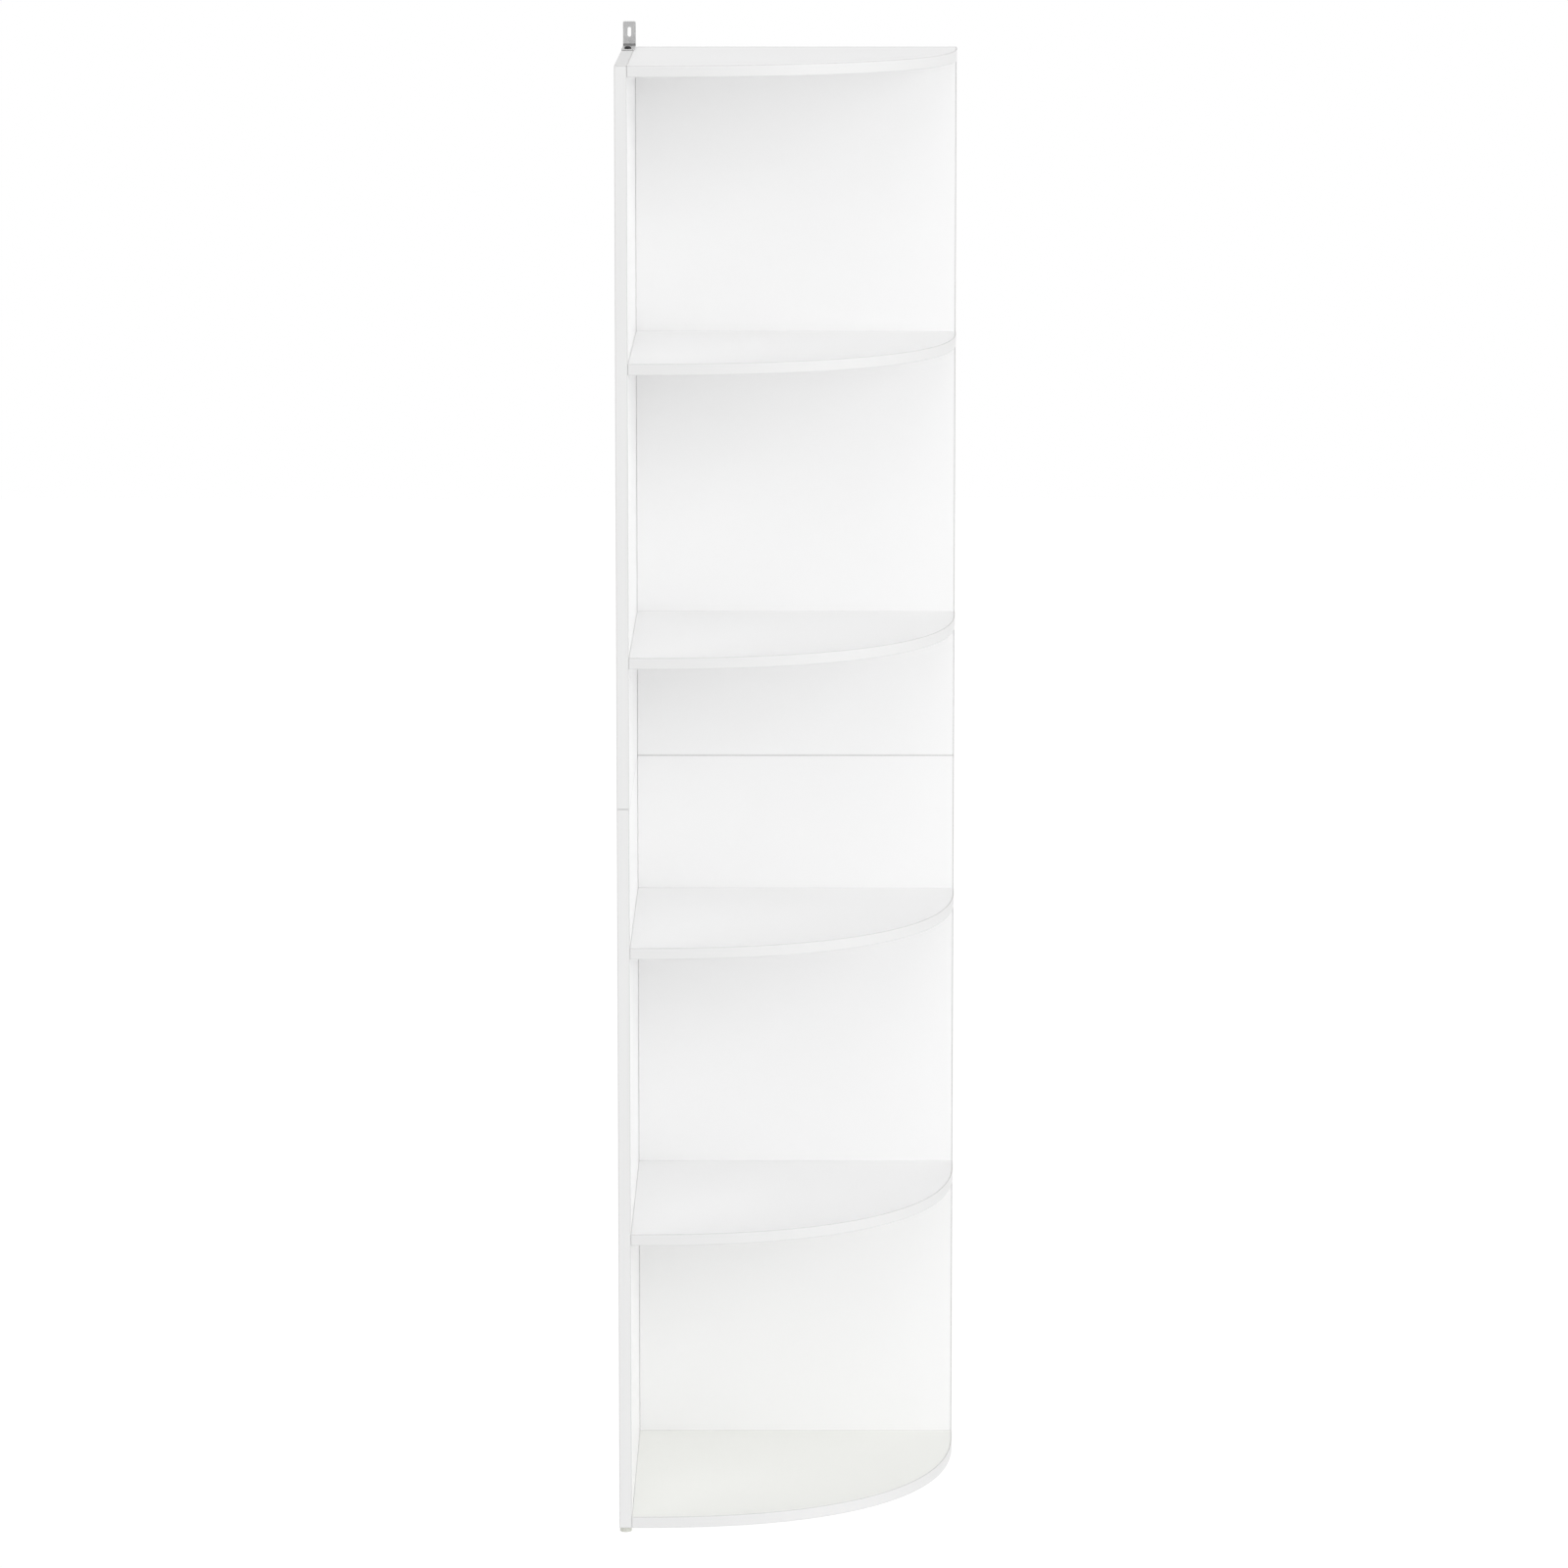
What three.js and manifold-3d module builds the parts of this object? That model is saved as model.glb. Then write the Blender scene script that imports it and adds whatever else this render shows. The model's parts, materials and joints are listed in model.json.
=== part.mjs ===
// Corner shelf unit: two tall white panels stand in an L, and six curved boards fill the corner
// between them. Each panel is made of two halves, one on top of the other, with a band of edging on
// its open edge. A steel angle on top ties the unit to the wall, and three levelling feet stand under
// the panels.
// Millimetres, z up. The front faces -y, the side panel is at -x and the back panel at +y.
import * as THREE from "three";
import { mergeVertices } from "three/addons/utils/BufferGeometryUtils.js";
import Module from "manifold-3d";

const wasm = await Module();
wasm.setup();

// Driving dimensions of the carcass.
const unitWidth = 550;
const unitDepth = 580;
const carcassHeight = 2360;
const sidePanelThickness = 20;
const backPanelThickness = 20;
const boardThickness = 18;
const shelfCount = 4;
const footHeight = 9;

// The boards' curved front follows |u/a|^n + |v/b|^n = 1, squarer than an ellipse.
const curveExponent = 2.42;
const curveSteps = 34;

// Edges and fits.
const edgeEasing = 0.7;
const bandThickness = 1;
const bandEasing = 0.5;
const fitGap = 0.2;
const boreClearance = 0.3;
const cutOverrun = 2;
const weldDistance = 0.0001;

// Cam fitting: a drum let into one board, and a bolt that runs from it into the panel beside it.
const drumRadius = 7.5;
const drumHeight = 13;
const drumSetback = 34;
const drumSlotWidth = 1.6;
const drumSlotDepth = 2;
const drumSlotLength = 10;
const boltShankRadius = 3;
const boltCollarRadius = 4;
const boltCollarLength = 2;
const boltThreadRadius = 3.5;
const boltThreadLength = 7;
const boltTipLength = 2;
const camFrontInset = 50;
const camRearInset = 64;
const cornerFittingShares = [0.13, 0.87];

// Screws through the back panel into the boards' rear edges.
const backScrewLength = 50;
const backScrewRadius = 2.5;
const backScrewHeadRadius = 5;
const backScrewHeadDepth = 3;
const backScrewTipLength = 6;
const backScrewInset = 100;

// Dowels across the seam at half height.
const dowelRadius = 4;
const dowelLength = 40;
const dowelChamfer = 1;

// Levelling feet and the sockets that they screw into.
const footRadius = 9.5;
const footSoleRadius = 7.3;
const footRounding = 2.2;
const footStemRadius = 4;
const footStemGrip = 14;
const footTravel = 10;
const footInset = 16;
const socketRadius = 6;
const socketLength = 18;
const socketFlangeRadius = 7.6;
const socketFlangeThickness = 1.5;

// Wall angle on the side panel's top edge, with its screw.
const bracketWidth = 21;
const bracketThickness = 2.2;
const bracketRise = 41.5;
const bracketReach = 132;
const bracketBendRadius = 3;
const bracketCornerRadius = 2;
const bracketSlotWidth = 5.8;
const bracketSlotLength = 16;
const bracketSlotHeight = 24.2;
const bracketHoleRadius = 2.8;
const bracketScrewInset = 22;
const bracketScrewHeadRadius = 5.6;
const bracketScrewHeadHeight = 4.2;
const bracketScrewRimHeight = 1.6;
const bracketScrewRadius = 2.2;
const bracketScrewLength = 30;

// Facets on round pieces and bores.
const boreSides = 12;
const pinSides = 8;
const footSides = 16;
const bendSteps = 4;
const domeSteps = 3;

// Sizes worked out from those above.
const halfHeight = carcassHeight / 2;
const boardPitch = (carcassHeight - boardThickness) / (shelfCount + 1);
const innerLeft = sidePanelThickness + fitGap;
const innerBack = backPanelThickness + fitGap;
const clearWidth = unitWidth - innerLeft;
const clearDepth = unitDepth - innerBack;
const coreWidth = clearWidth - bandThickness - fitGap;
const coreDepth = clearDepth - bandThickness - fitGap;
// Wound right out, a foot keeps its grip in the socket.
const footStemLength = footStemGrip + footTravel;
const socketBoreDepth = footStemLength + cutOverrun;
const bracketScrewX = bracketWidth / 2;
const bracketScrewY = bracketScrewInset - bracketReach;

const along = {
  left: new THREE.Vector3(-1, 0, 0),
  right: new THREE.Vector3(1, 0, 0),
  front: new THREE.Vector3(0, -1, 0),
  back: new THREE.Vector3(0, 1, 0),
  up: new THREE.Vector3(0, 0, 1),
  down: new THREE.Vector3(0, 0, -1),
};

const finish = {
  foil: new THREE.MeshStandardMaterial({ color: 0xf2f2f0, roughness: 0.45, metalness: 0 }),
  band: new THREE.MeshStandardMaterial({ color: 0xe9e9e7, roughness: 0.4, metalness: 0 }),
  zinc: new THREE.MeshStandardMaterial({ color: 0xb9babb, roughness: 0.35, metalness: 1 }),
  cam: new THREE.MeshStandardMaterial({ color: 0xa4a5a6, roughness: 0.5, metalness: 1 }),
  darkSteel: new THREE.MeshStandardMaterial({ color: 0x2b2b2c, roughness: 0.4, metalness: 0.6 }),
  beech: new THREE.MeshStandardMaterial({ color: 0xd3b58c, roughness: 0.8, metalness: 0 }),
  footPlastic: new THREE.MeshStandardMaterial({ color: 0xd2d3cb, roughness: 0.5, metalness: 0 }),
  socketPlastic: new THREE.MeshStandardMaterial({ color: 0xe4e4e0, roughness: 0.55, metalness: 0 }),
};

// Boolean work: closed meshes go in as solids and come back as geometry.
function solidFrom(geometry) {
  const bare = geometry.clone();
  bare.deleteAttribute("normal");
  bare.deleteAttribute("uv");
  const merged = mergeVertices(bare, weldDistance);
  return new wasm.Manifold(
    new wasm.Mesh({
      numProp: 3,
      vertProperties: merged.attributes.position.array,
      triVerts: new Uint32Array(merged.index.array),
    }),
  );
}

function geometryFrom(solid) {
  const mesh = solid.getMesh();
  const geometry = new THREE.BufferGeometry();
  geometry.setAttribute("position", new THREE.BufferAttribute(mesh.vertProperties, 3));
  geometry.setIndex(new THREE.BufferAttribute(mesh.triVerts, 1));
  geometry.computeVertexNormals();
  return geometry;
}

function cut(geometry, tools) {
  return geometryFrom(tools.reduce((solid, tool) => solid.subtract(solidFrom(tool)), solidFrom(geometry)));
}

function join(first, second) {
  return geometryFrom(solidFrom(first).add(solidFrom(second)));
}

function common(first, second) {
  return geometryFrom(solidFrom(first).intersect(solidFrom(second)));
}

// A bore that enters a face at a point and runs inwards to its depth.
function bore(x, y, z, direction, radius, depth) {
  const length = depth + cutOverrun;
  const tool = new THREE.CylinderGeometry(radius, radius, length, boreSides);
  tool.translate(0, length / 2 - cutOverrun, 0);
  tool.applyQuaternion(new THREE.Quaternion().setFromUnitVectors(along.back, direction));
  return tool.translate(x, y, z);
}

// A turned piece about the z axis, from its outline's [radius, height] points.
function turned(points, sides) {
  const outline = points.map(([radius, height]) => new THREE.Vector2(radius, height));
  return new THREE.LatheGeometry(outline, sides).rotateX(Math.PI / 2);
}

function piece(name, geometry, material, x = 0, y = 0, z = 0) {
  const mesh = new THREE.Mesh(geometry, material);
  mesh.name = name;
  mesh.position.set(x, y, z);
  return mesh;
}

// A panel with all its edges eased, its rear left lower corner at the origin.
function easedPanel(width, depth, height) {
  const e = edgeEasing;
  const outline = new THREE.Shape();
  outline.moveTo(e, 0);
  outline.lineTo(0, -e);
  outline.lineTo(0, e - depth);
  outline.lineTo(e, -depth);
  outline.lineTo(width - e, -depth);
  outline.lineTo(width, e - depth);
  outline.lineTo(width, -e);
  outline.lineTo(width - e, 0);
  const slab = new THREE.ExtrudeGeometry(outline, {
    depth: height - e * 2,
    bevelThickness: e,
    bevelSize: e,
    bevelOffset: -e,
    bevelSegments: 1,
  });
  return slab.translate(0, 0, e);
}

// A block over a panel that reaches in from its front edge, or from its free right one.
function edgeBlock(width, depth, height, edge, reach) {
  const over = cutOverrun * 2;
  const block = new THREE.BoxGeometry(width + over, depth + over, height + over);
  block.translate(width / 2, -depth / 2, height / 2);
  if (edge === "front") {
    return block.translate(0, reach - depth - cutOverrun, 0);
  }
  return block.translate(width - reach + cutOverrun, 0, 0);
}

// A panel with its holes, and the band on its open edge, which carries that edge's easing.
function bandedPanel(width, depth, height, edge, holes) {
  const slab = easedPanel(width, depth, height);
  const seat = edgeBlock(width, depth, height, edge, bandThickness + fitGap);
  const strip = edgeBlock(width, depth, height, edge, bandThickness);
  return { panel: cut(slab, [seat, ...holes]), band: common(slab, strip) };
}

// Height of a board's underside, counted from the bottom board up.
function boardLevel(index) {
  return index * boardPitch;
}

const boardNames = ["bottom_board"];
for (let shelf = 1; shelf <= shelfCount; shelf += 1) {
  boardNames.push(`shelf_${shelf}`);
}
boardNames.push("top_board");

// Where each board's fittings sit: cams along its left end, screws along its rear edge.
const camStations = { front: camFrontInset - clearDepth, rear: -camRearInset };
const screwStations = { left: backScrewInset, right: clearWidth - backScrewInset };

// The bores of all boards that fall on one half panel, at heights measured on that half.
function boardsOn(bottom) {
  return boardNames
    .map((name, index) => boardLevel(index) + boardThickness / 2 - bottom)
    .filter((height) => height > 0 && height < halfHeight);
}

// Side panel, a lower and an upper half.
function sidePanelHalf(bottom) {
  const isUpper = bottom > 0;
  const middle = sidePanelThickness / 2;
  const inner = sidePanelThickness;
  const boltRadius = boltThreadRadius + boreClearance;
  const boltDepth = boltThreadLength + boreClearance - fitGap;
  const tools = [];
  for (const height of boardsOn(bottom)) {
    for (const station of Object.values(camStations)) {
      tools.push(bore(inner, station - innerBack, height, along.left, boltRadius, boltDepth));
    }
  }
  for (const share of cornerFittingShares) {
    tools.push(bore(inner, -backPanelThickness / 2, share * halfHeight, along.left, boltRadius, boltDepth));
  }
  for (const station of Object.values(camStations)) {
    const seam = isUpper ? 0 : halfHeight - fitGap;
    tools.push(dowelBore(middle, station - innerBack, seam, isUpper ? along.up : along.down));
  }
  if (isUpper) {
    const hole = bracketScrewRadius + boreClearance;
    tools.push(bore(bracketScrewX, bracketScrewY, halfHeight, along.down, hole, bracketScrewLength));
  } else {
    for (const station of [-footInset, footInset - unitDepth]) {
      tools.push(...socketBores(middle, station));
    }
  }
  const height = isUpper ? halfHeight : halfHeight - fitGap;
  return bandedPanel(sidePanelThickness, unitDepth, height, "front", tools);
}

// Back panel, a lower and an upper half, standing between the side panel and the free end.
function backPanelHalf(bottom) {
  const isUpper = bottom > 0;
  const middle = -backPanelThickness / 2;
  const tools = [];
  for (const height of boardsOn(bottom)) {
    for (const station of Object.values(screwStations)) {
      tools.push(countersunkBore(station, height));
    }
  }
  for (const share of cornerFittingShares) {
    const height = share * halfHeight;
    const drumDepth = drumHeight + boreClearance;
    const shank = boltCollarRadius + boreClearance;
    tools.push(bore(drumSetback, 0, height, along.front, drumRadius + boreClearance, drumDepth));
    tools.push(bore(0, middle, height, along.right, shank, drumSetback));
  }
  for (const station of Object.values(screwStations)) {
    const seam = isUpper ? 0 : halfHeight - fitGap;
    tools.push(dowelBore(station, middle, seam, isUpper ? along.up : along.down));
  }
  if (!isUpper) {
    tools.push(...socketBores(clearWidth - footInset, middle));
  }
  const height = isUpper ? halfHeight : halfHeight - fitGap;
  return bandedPanel(clearWidth, backPanelThickness, height, "right", tools);
}

function dowelBore(x, y, z, direction) {
  return bore(x, y, z, direction, dowelRadius + boreClearance, dowelLength / 2 + boreClearance);
}

// A screw's hole through the back panel, with the cone of its countersink.
function countersunkBore(x, z) {
  const shank = backScrewRadius + boreClearance;
  const head = backScrewHeadRadius + boreClearance;
  const through = backPanelThickness + cutOverrun;
  const tool = turned(
    [
      [0, -cutOverrun],
      [head, -cutOverrun],
      [head, boreClearance],
      [shank, backScrewHeadDepth + boreClearance],
      [shank, through],
      [0, through],
    ],
    boreSides,
  );
  return tool.rotateX(Math.PI / 2).translate(x, 0, z);
}

// The stepped hole in a panel's underside that holds a foot's socket and stem.
function socketBores(x, y) {
  const flange = socketFlangeRadius + boreClearance;
  const sleeve = socketRadius + boreClearance;
  const stem = footStemRadius + boreClearance;
  return [
    bore(x, y, 0, along.up, flange, socketFlangeThickness + fitGap * 2),
    bore(x, y, 0, along.up, sleeve, socketLength + fitGap * 2),
    bore(x, y, 0, along.up, stem, socketBoreDepth),
  ];
}

// A point of the boards' curved front and the outward direction there, from the side panel (0) round
// to the free end of the back panel (1).
function curvePoint(share) {
  const turn = (share * Math.PI) / 2;
  const u = Math.max(Math.sin(turn), 0) ** (2 / curveExponent);
  const v = Math.max(Math.cos(turn), 0) ** (2 / curveExponent);
  const outward = new THREE.Vector2(
    u ** (curveExponent - 1) / coreWidth,
    -(v ** (curveExponent - 1)) / coreDepth,
  ).normalize();
  if (share === 1) {
    return { x: coreWidth, y: 0, outward: new THREE.Vector2(1, 0) };
  }
  return { x: u * coreWidth, y: -v * coreDepth, outward };
}

const frontCurve = Array.from({ length: curveSteps + 1 }, (_, step) => curvePoint(step / curveSteps));

// A board's core, its rear left lower corner at the origin, with the holes for its fittings.
function boardCore() {
  const outline = new THREE.Shape();
  outline.moveTo(0, 0);
  for (const point of frontCurve) {
    outline.lineTo(point.x, point.y);
  }
  const slab = new THREE.ExtrudeGeometry(outline, { depth: boardThickness, bevelEnabled: false });
  const middle = boardThickness / 2;
  const drum = drumRadius + boreClearance;
  const shank = boltCollarRadius + boreClearance;
  const screw = backScrewRadius + boreClearance;
  const screwDepth = backScrewLength - backPanelThickness;
  const tools = [];
  for (const station of Object.values(camStations)) {
    tools.push(bore(drumSetback, station, 0, along.up, drum, drumHeight + boreClearance));
    tools.push(bore(0, station, middle, along.right, shank, drumSetback));
  }
  for (const station of Object.values(screwStations)) {
    tools.push(bore(station, 0, middle, along.front, screw, screwDepth));
  }
  return cut(slab, tools);
}

// The edge band, swept round the curved front: a flat back, and two eased outer edges.
function edgeBand() {
  const outer = fitGap + bandThickness;
  const section = [
    [fitGap, 0],
    [outer - bandEasing, 0],
    [outer, bandEasing],
    [outer, boardThickness - bandEasing],
    [outer - bandEasing, boardThickness],
    [fitGap, boardThickness],
  ];
  const positions = [];
  for (const { x, y, outward } of frontCurve) {
    for (const [out, up] of section) {
      positions.push(x + outward.x * out, y + outward.y * out, up);
    }
  }
  const faces = [];
  const ring = section.length;
  for (let step = 0; step < curveSteps; step += 1) {
    for (let k = 0; k < ring; k += 1) {
      const a = step * ring + k;
      const b = step * ring + ((k + 1) % ring);
      faces.push(a, a + ring, b, b, a + ring, b + ring);
    }
  }
  const last = curveSteps * ring;
  for (let k = 1; k < ring - 1; k += 1) {
    faces.push(0, k, k + 1);
    faces.push(last, last + k + 1, last + k);
  }
  const geometry = new THREE.BufferGeometry();
  geometry.setAttribute("position", new THREE.Float32BufferAttribute(positions, 3));
  geometry.setIndex(faces);
  geometry.computeVertexNormals();
  return geometry;
}

// Cam fitting about the drum's axis: the drum's slotted face looks down, a hair inside the board's face
// at the origin, and the bolt leaves it towards -x, at the given depth behind that face.
function camFitting(boltDepth) {
  const slots = [
    new THREE.BoxGeometry(drumSlotLength, drumSlotWidth, drumSlotDepth * 2),
    new THREE.BoxGeometry(drumSlotWidth, drumSlotLength, drumSlotDepth * 2),
  ];
  const drum = turned(
    [
      [0, fitGap],
      [drumRadius, fitGap],
      [drumRadius, drumHeight],
      [0, drumHeight],
    ],
    boreSides,
  );
  const collar = drumSetback + fitGap;
  const tip = collar + boltThreadLength;
  const bolt = turned(
    [
      [0, 0],
      [boltShankRadius, 0],
      [boltShankRadius, collar - boltCollarLength],
      [boltCollarRadius, collar - boltCollarLength],
      [boltCollarRadius, collar - fitGap],
      [boltThreadRadius, collar - fitGap],
      [boltThreadRadius, tip - boltTipLength],
      [boltShankRadius, tip - fitGap],
      [0, tip - fitGap],
    ],
    pinSides,
  );
  bolt.rotateY(-Math.PI / 2).translate(0, 0, boltDepth);
  return join(cut(drum, slots), bolt);
}

// Countersunk screw about z, its flat head at the origin and its tip at +z.
function backScrew() {
  return turned(
    [
      [0, 0],
      [backScrewHeadRadius, 0],
      [backScrewRadius, backScrewHeadDepth],
      [backScrewRadius, backScrewLength - backScrewTipLength],
      [0, backScrewLength - boreClearance],
    ],
    pinSides,
  );
}

function seamDowel() {
  const half = dowelLength / 2;
  return turned(
    [
      [0, -half],
      [dowelRadius - dowelChamfer, -half],
      [dowelRadius, dowelChamfer - half],
      [dowelRadius, half - dowelChamfer],
      [dowelRadius - dowelChamfer, half],
      [0, half],
    ],
    pinSides,
  );
}

// Foot, its sole at the origin: a round pad with a rounded lower edge, on a stem.
function levellingFoot() {
  const top = footHeight - fitGap;
  const shoulder = footRounding / Math.SQRT2;
  return turned(
    [
      [0, 0],
      [footSoleRadius, 0],
      [footSoleRadius + shoulder, footRounding - shoulder],
      [footRadius, footRounding],
      [footRadius, top],
      [footStemRadius, top],
      [footStemRadius, footHeight + footStemLength],
      [0, footHeight + footStemLength],
    ],
    footSides,
  );
}

// Socket, its flange flush with the panel's underside at the origin.
function footSocket() {
  const hole = footStemRadius + boreClearance;
  return turned(
    [
      [hole, fitGap],
      [socketFlangeRadius, fitGap],
      [socketFlangeRadius, fitGap + socketFlangeThickness],
      [socketRadius, fitGap + socketFlangeThickness],
      [socketRadius, fitGap + socketLength],
      [hole, fitGap + socketLength],
      [hole, fitGap],
    ],
    footSides,
  );
}

// Wall angle: one strip, bent up at the rear, with a screw hole and an upright slot.
function wallBracket() {
  const t = bracketThickness;
  const inner = bracketBendRadius;
  const outerBend = inner + t;
  const strip = new THREE.Shape();
  strip.moveTo(-bracketReach, 0);
  strip.lineTo(-outerBend, 0);
  strip.absarc(-outerBend, outerBend, outerBend, -Math.PI / 2, 0, false);
  strip.lineTo(0, bracketRise);
  strip.lineTo(-t, bracketRise);
  strip.lineTo(-t, outerBend);
  strip.absarc(-outerBend, outerBend, inner, 0, -Math.PI / 2, true);
  strip.lineTo(-bracketReach, t);
  const bent = new THREE.ExtrudeGeometry(strip, {
    depth: bracketWidth,
    bevelEnabled: false,
    curveSegments: bendSteps,
  });
  bent.applyMatrix4(new THREE.Matrix4().makeBasis(along.back, along.up, along.right));
  const hole = bore(0, 0, 0, along.down, bracketHoleRadius, t * 2);
  hole.translate(bracketScrewX, bracketScrewY, t);
  return cut(bent, [hole, bracketSlot(), ...bracketCorners()]);
}

// The upright slot, a stadium cut through the rear leg.
function bracketSlot() {
  const r = bracketSlotWidth / 2;
  const reach = bracketSlotLength / 2 - r;
  const slot = new THREE.Shape();
  slot.absarc(0, reach, r, 0, Math.PI, false);
  slot.absarc(0, -reach, r, Math.PI, Math.PI * 2, false);
  const tool = new THREE.ExtrudeGeometry(slot, {
    depth: bracketThickness + cutOverrun * 2,
    bevelEnabled: false,
    curveSegments: bendSteps * 2,
  });
  tool.rotateX(Math.PI / 2);
  return tool.translate(bracketWidth / 2, cutOverrun, bracketSlotHeight);
}

// Tools that round the four free corners of the strip.
function bracketCorners() {
  const r = bracketCornerRadius;
  const corner = new THREE.Shape();
  corner.moveTo(-cutOverrun, -cutOverrun);
  corner.lineTo(r, -cutOverrun);
  corner.lineTo(r, 0);
  corner.absarc(r, r, r, -Math.PI / 2, -Math.PI, true);
  corner.lineTo(-cutOverrun, r);
  const depth = bracketThickness + cutOverrun * 2;
  const tools = [];
  for (const isRight of [false, true]) {
    const tool = new THREE.ExtrudeGeometry(corner, {
      depth,
      bevelEnabled: false,
      curveSegments: bendSteps,
    });
    const x = isRight ? bracketWidth : 0;
    tool.translate(0, 0, -cutOverrun).rotateZ(isRight ? Math.PI / 2 : 0);
    tools.push(tool.clone().translate(x, -bracketReach, 0));
    tools.push(tool.rotateX(-Math.PI / 2).translate(x, -bracketThickness, bracketRise));
  }
  return tools;
}

// Domed screw that holds the wall angle down, its head's underside at the origin.
function bracketScrew() {
  const rise = bracketScrewHeadHeight - bracketScrewRimHeight;
  const dome = [];
  for (let step = 0; step < domeSteps; step += 1) {
    const turn = ((step / domeSteps) * Math.PI) / 2;
    dome.push([bracketScrewHeadRadius * Math.cos(turn), bracketScrewRimHeight + rise * Math.sin(turn)]);
  }
  return turned(
    [
      [0, -bracketScrewLength],
      [bracketScrewRadius, -bracketScrewLength + bracketScrewRadius * 2],
      [bracketScrewRadius, 0],
      [bracketScrewHeadRadius, 0],
      ...dome,
      [0, bracketScrewHeadHeight],
    ],
    boreSides,
  );
}

// The whole unit, from the rear left corner of its carcass.
const unit = new THREE.Group();
const carcass = new THREE.Group();
carcass.position.set(-unitWidth / 2, unitDepth / 2, footHeight);
unit.add(carcass);

const halves = { lower: 0, upper: halfHeight };
for (const [half, bottom] of Object.entries(halves)) {
  const side = sidePanelHalf(bottom);
  const back = backPanelHalf(bottom);
  carcass.add(piece(`side_panel_${half}`, side.panel, finish.foil, 0, 0, bottom));
  carcass.add(piece(`side_panel_${half}_edge_band`, side.band, finish.band, 0, 0, bottom));
  carcass.add(piece(`back_panel_${half}`, back.panel, finish.foil, innerLeft, 0, bottom));
  carcass.add(piece(`back_panel_${half}_edge_band`, back.band, finish.band, innerLeft, 0, bottom));
}

const boardShape = boardCore();
const bandShape = edgeBand();
const boardCam = camFitting(boardThickness / 2);
const screwShape = backScrew();
boardNames.forEach((name, index) => {
  const level = new THREE.Group();
  level.position.set(innerLeft, -innerBack, boardLevel(index));
  level.add(piece(name, boardShape, finish.foil));
  level.add(piece(`${name}_edge_band`, bandShape, finish.band));
  for (const [place, station] of Object.entries(camStations)) {
    level.add(piece(`${name}_cam_${place}`, boardCam, finish.cam, drumSetback, station));
  }
  for (const [place, station] of Object.entries(screwStations)) {
    const screw = piece(`${name}_screw_${place}`, screwShape, finish.zinc, station);
    screw.position.y = innerBack;
    screw.position.z = boardThickness / 2;
    screw.rotation.x = Math.PI / 2;
    level.add(screw);
  }
  carcass.add(level);
});

const cornerCam = camFitting(backPanelThickness / 2);
let cornerCams = 0;
for (const bottom of Object.values(halves)) {
  for (const share of cornerFittingShares) {
    cornerCams += 1;
    const cam = piece(`corner_cam_${cornerCams}`, cornerCam, finish.cam, innerLeft + drumSetback);
    cam.position.z = bottom + share * halfHeight;
    cam.rotation.x = Math.PI / 2;
    carcass.add(cam);
  }
}

const dowelShape = seamDowel();
const dowelPlaces = {};
for (const [place, station] of Object.entries(camStations)) {
  dowelPlaces[`side_${place}`] = [sidePanelThickness / 2, station - innerBack];
}
for (const [place, station] of Object.entries(screwStations)) {
  dowelPlaces[`back_${place}`] = [innerLeft + station, -backPanelThickness / 2];
}
for (const [place, [x, y]] of Object.entries(dowelPlaces)) {
  carcass.add(piece(`seam_dowel_${place}`, dowelShape, finish.beech, x, y, halfHeight));
}

const footShape = levellingFoot();
const socketShape = footSocket();
const footStations = {
  front: [sidePanelThickness / 2, footInset - unitDepth],
  corner: [sidePanelThickness / 2, -footInset],
  end: [unitWidth - footInset, -backPanelThickness / 2],
};
for (const [place, [x, y]] of Object.entries(footStations)) {
  carcass.add(piece(`foot_${place}`, footShape, finish.footPlastic, x, y, -footHeight));
  carcass.add(piece(`foot_socket_${place}`, socketShape, finish.socketPlastic, x, y));
}

const bracketSeat = carcassHeight + fitGap;
carcass.add(piece("wall_bracket", wallBracket(), finish.zinc, 0, 0, bracketSeat));
carcass.add(
  piece(
    "bracket_screw",
    bracketScrew(),
    finish.darkSteel,
    bracketScrewX,
    bracketScrewY,
    bracketSeat + bracketThickness + fitGap,
  ),
);

export default unit;
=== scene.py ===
# %% [markdown]
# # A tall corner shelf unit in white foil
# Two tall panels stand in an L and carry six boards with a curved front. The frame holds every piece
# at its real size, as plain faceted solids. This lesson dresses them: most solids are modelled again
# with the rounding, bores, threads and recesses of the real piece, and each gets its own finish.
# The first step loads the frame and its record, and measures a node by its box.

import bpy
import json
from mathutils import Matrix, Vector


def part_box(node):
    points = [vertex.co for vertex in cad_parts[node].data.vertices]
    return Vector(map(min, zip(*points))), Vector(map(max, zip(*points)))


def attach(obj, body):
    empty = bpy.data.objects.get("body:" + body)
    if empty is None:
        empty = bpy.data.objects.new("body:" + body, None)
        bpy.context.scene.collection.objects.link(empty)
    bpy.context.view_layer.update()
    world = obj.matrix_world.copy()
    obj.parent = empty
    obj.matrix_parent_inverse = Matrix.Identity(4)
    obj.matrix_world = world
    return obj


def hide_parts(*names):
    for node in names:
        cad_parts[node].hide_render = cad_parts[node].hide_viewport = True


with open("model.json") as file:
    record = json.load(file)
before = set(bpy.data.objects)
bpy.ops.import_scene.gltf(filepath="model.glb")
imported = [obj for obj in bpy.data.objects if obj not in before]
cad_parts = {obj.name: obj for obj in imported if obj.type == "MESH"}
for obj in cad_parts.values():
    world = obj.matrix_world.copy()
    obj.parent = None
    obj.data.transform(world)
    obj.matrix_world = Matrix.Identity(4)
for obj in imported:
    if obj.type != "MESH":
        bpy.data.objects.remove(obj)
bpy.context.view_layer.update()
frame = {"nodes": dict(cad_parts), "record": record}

# %% [markdown]
# ## What the frame already knows
# The record says which finish each node takes and which body carries it. Reading both from there, and
# not writing them down again, keeps this file right when the record changes. Lengths are in metres,
# so a millimetre gets a name.

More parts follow.
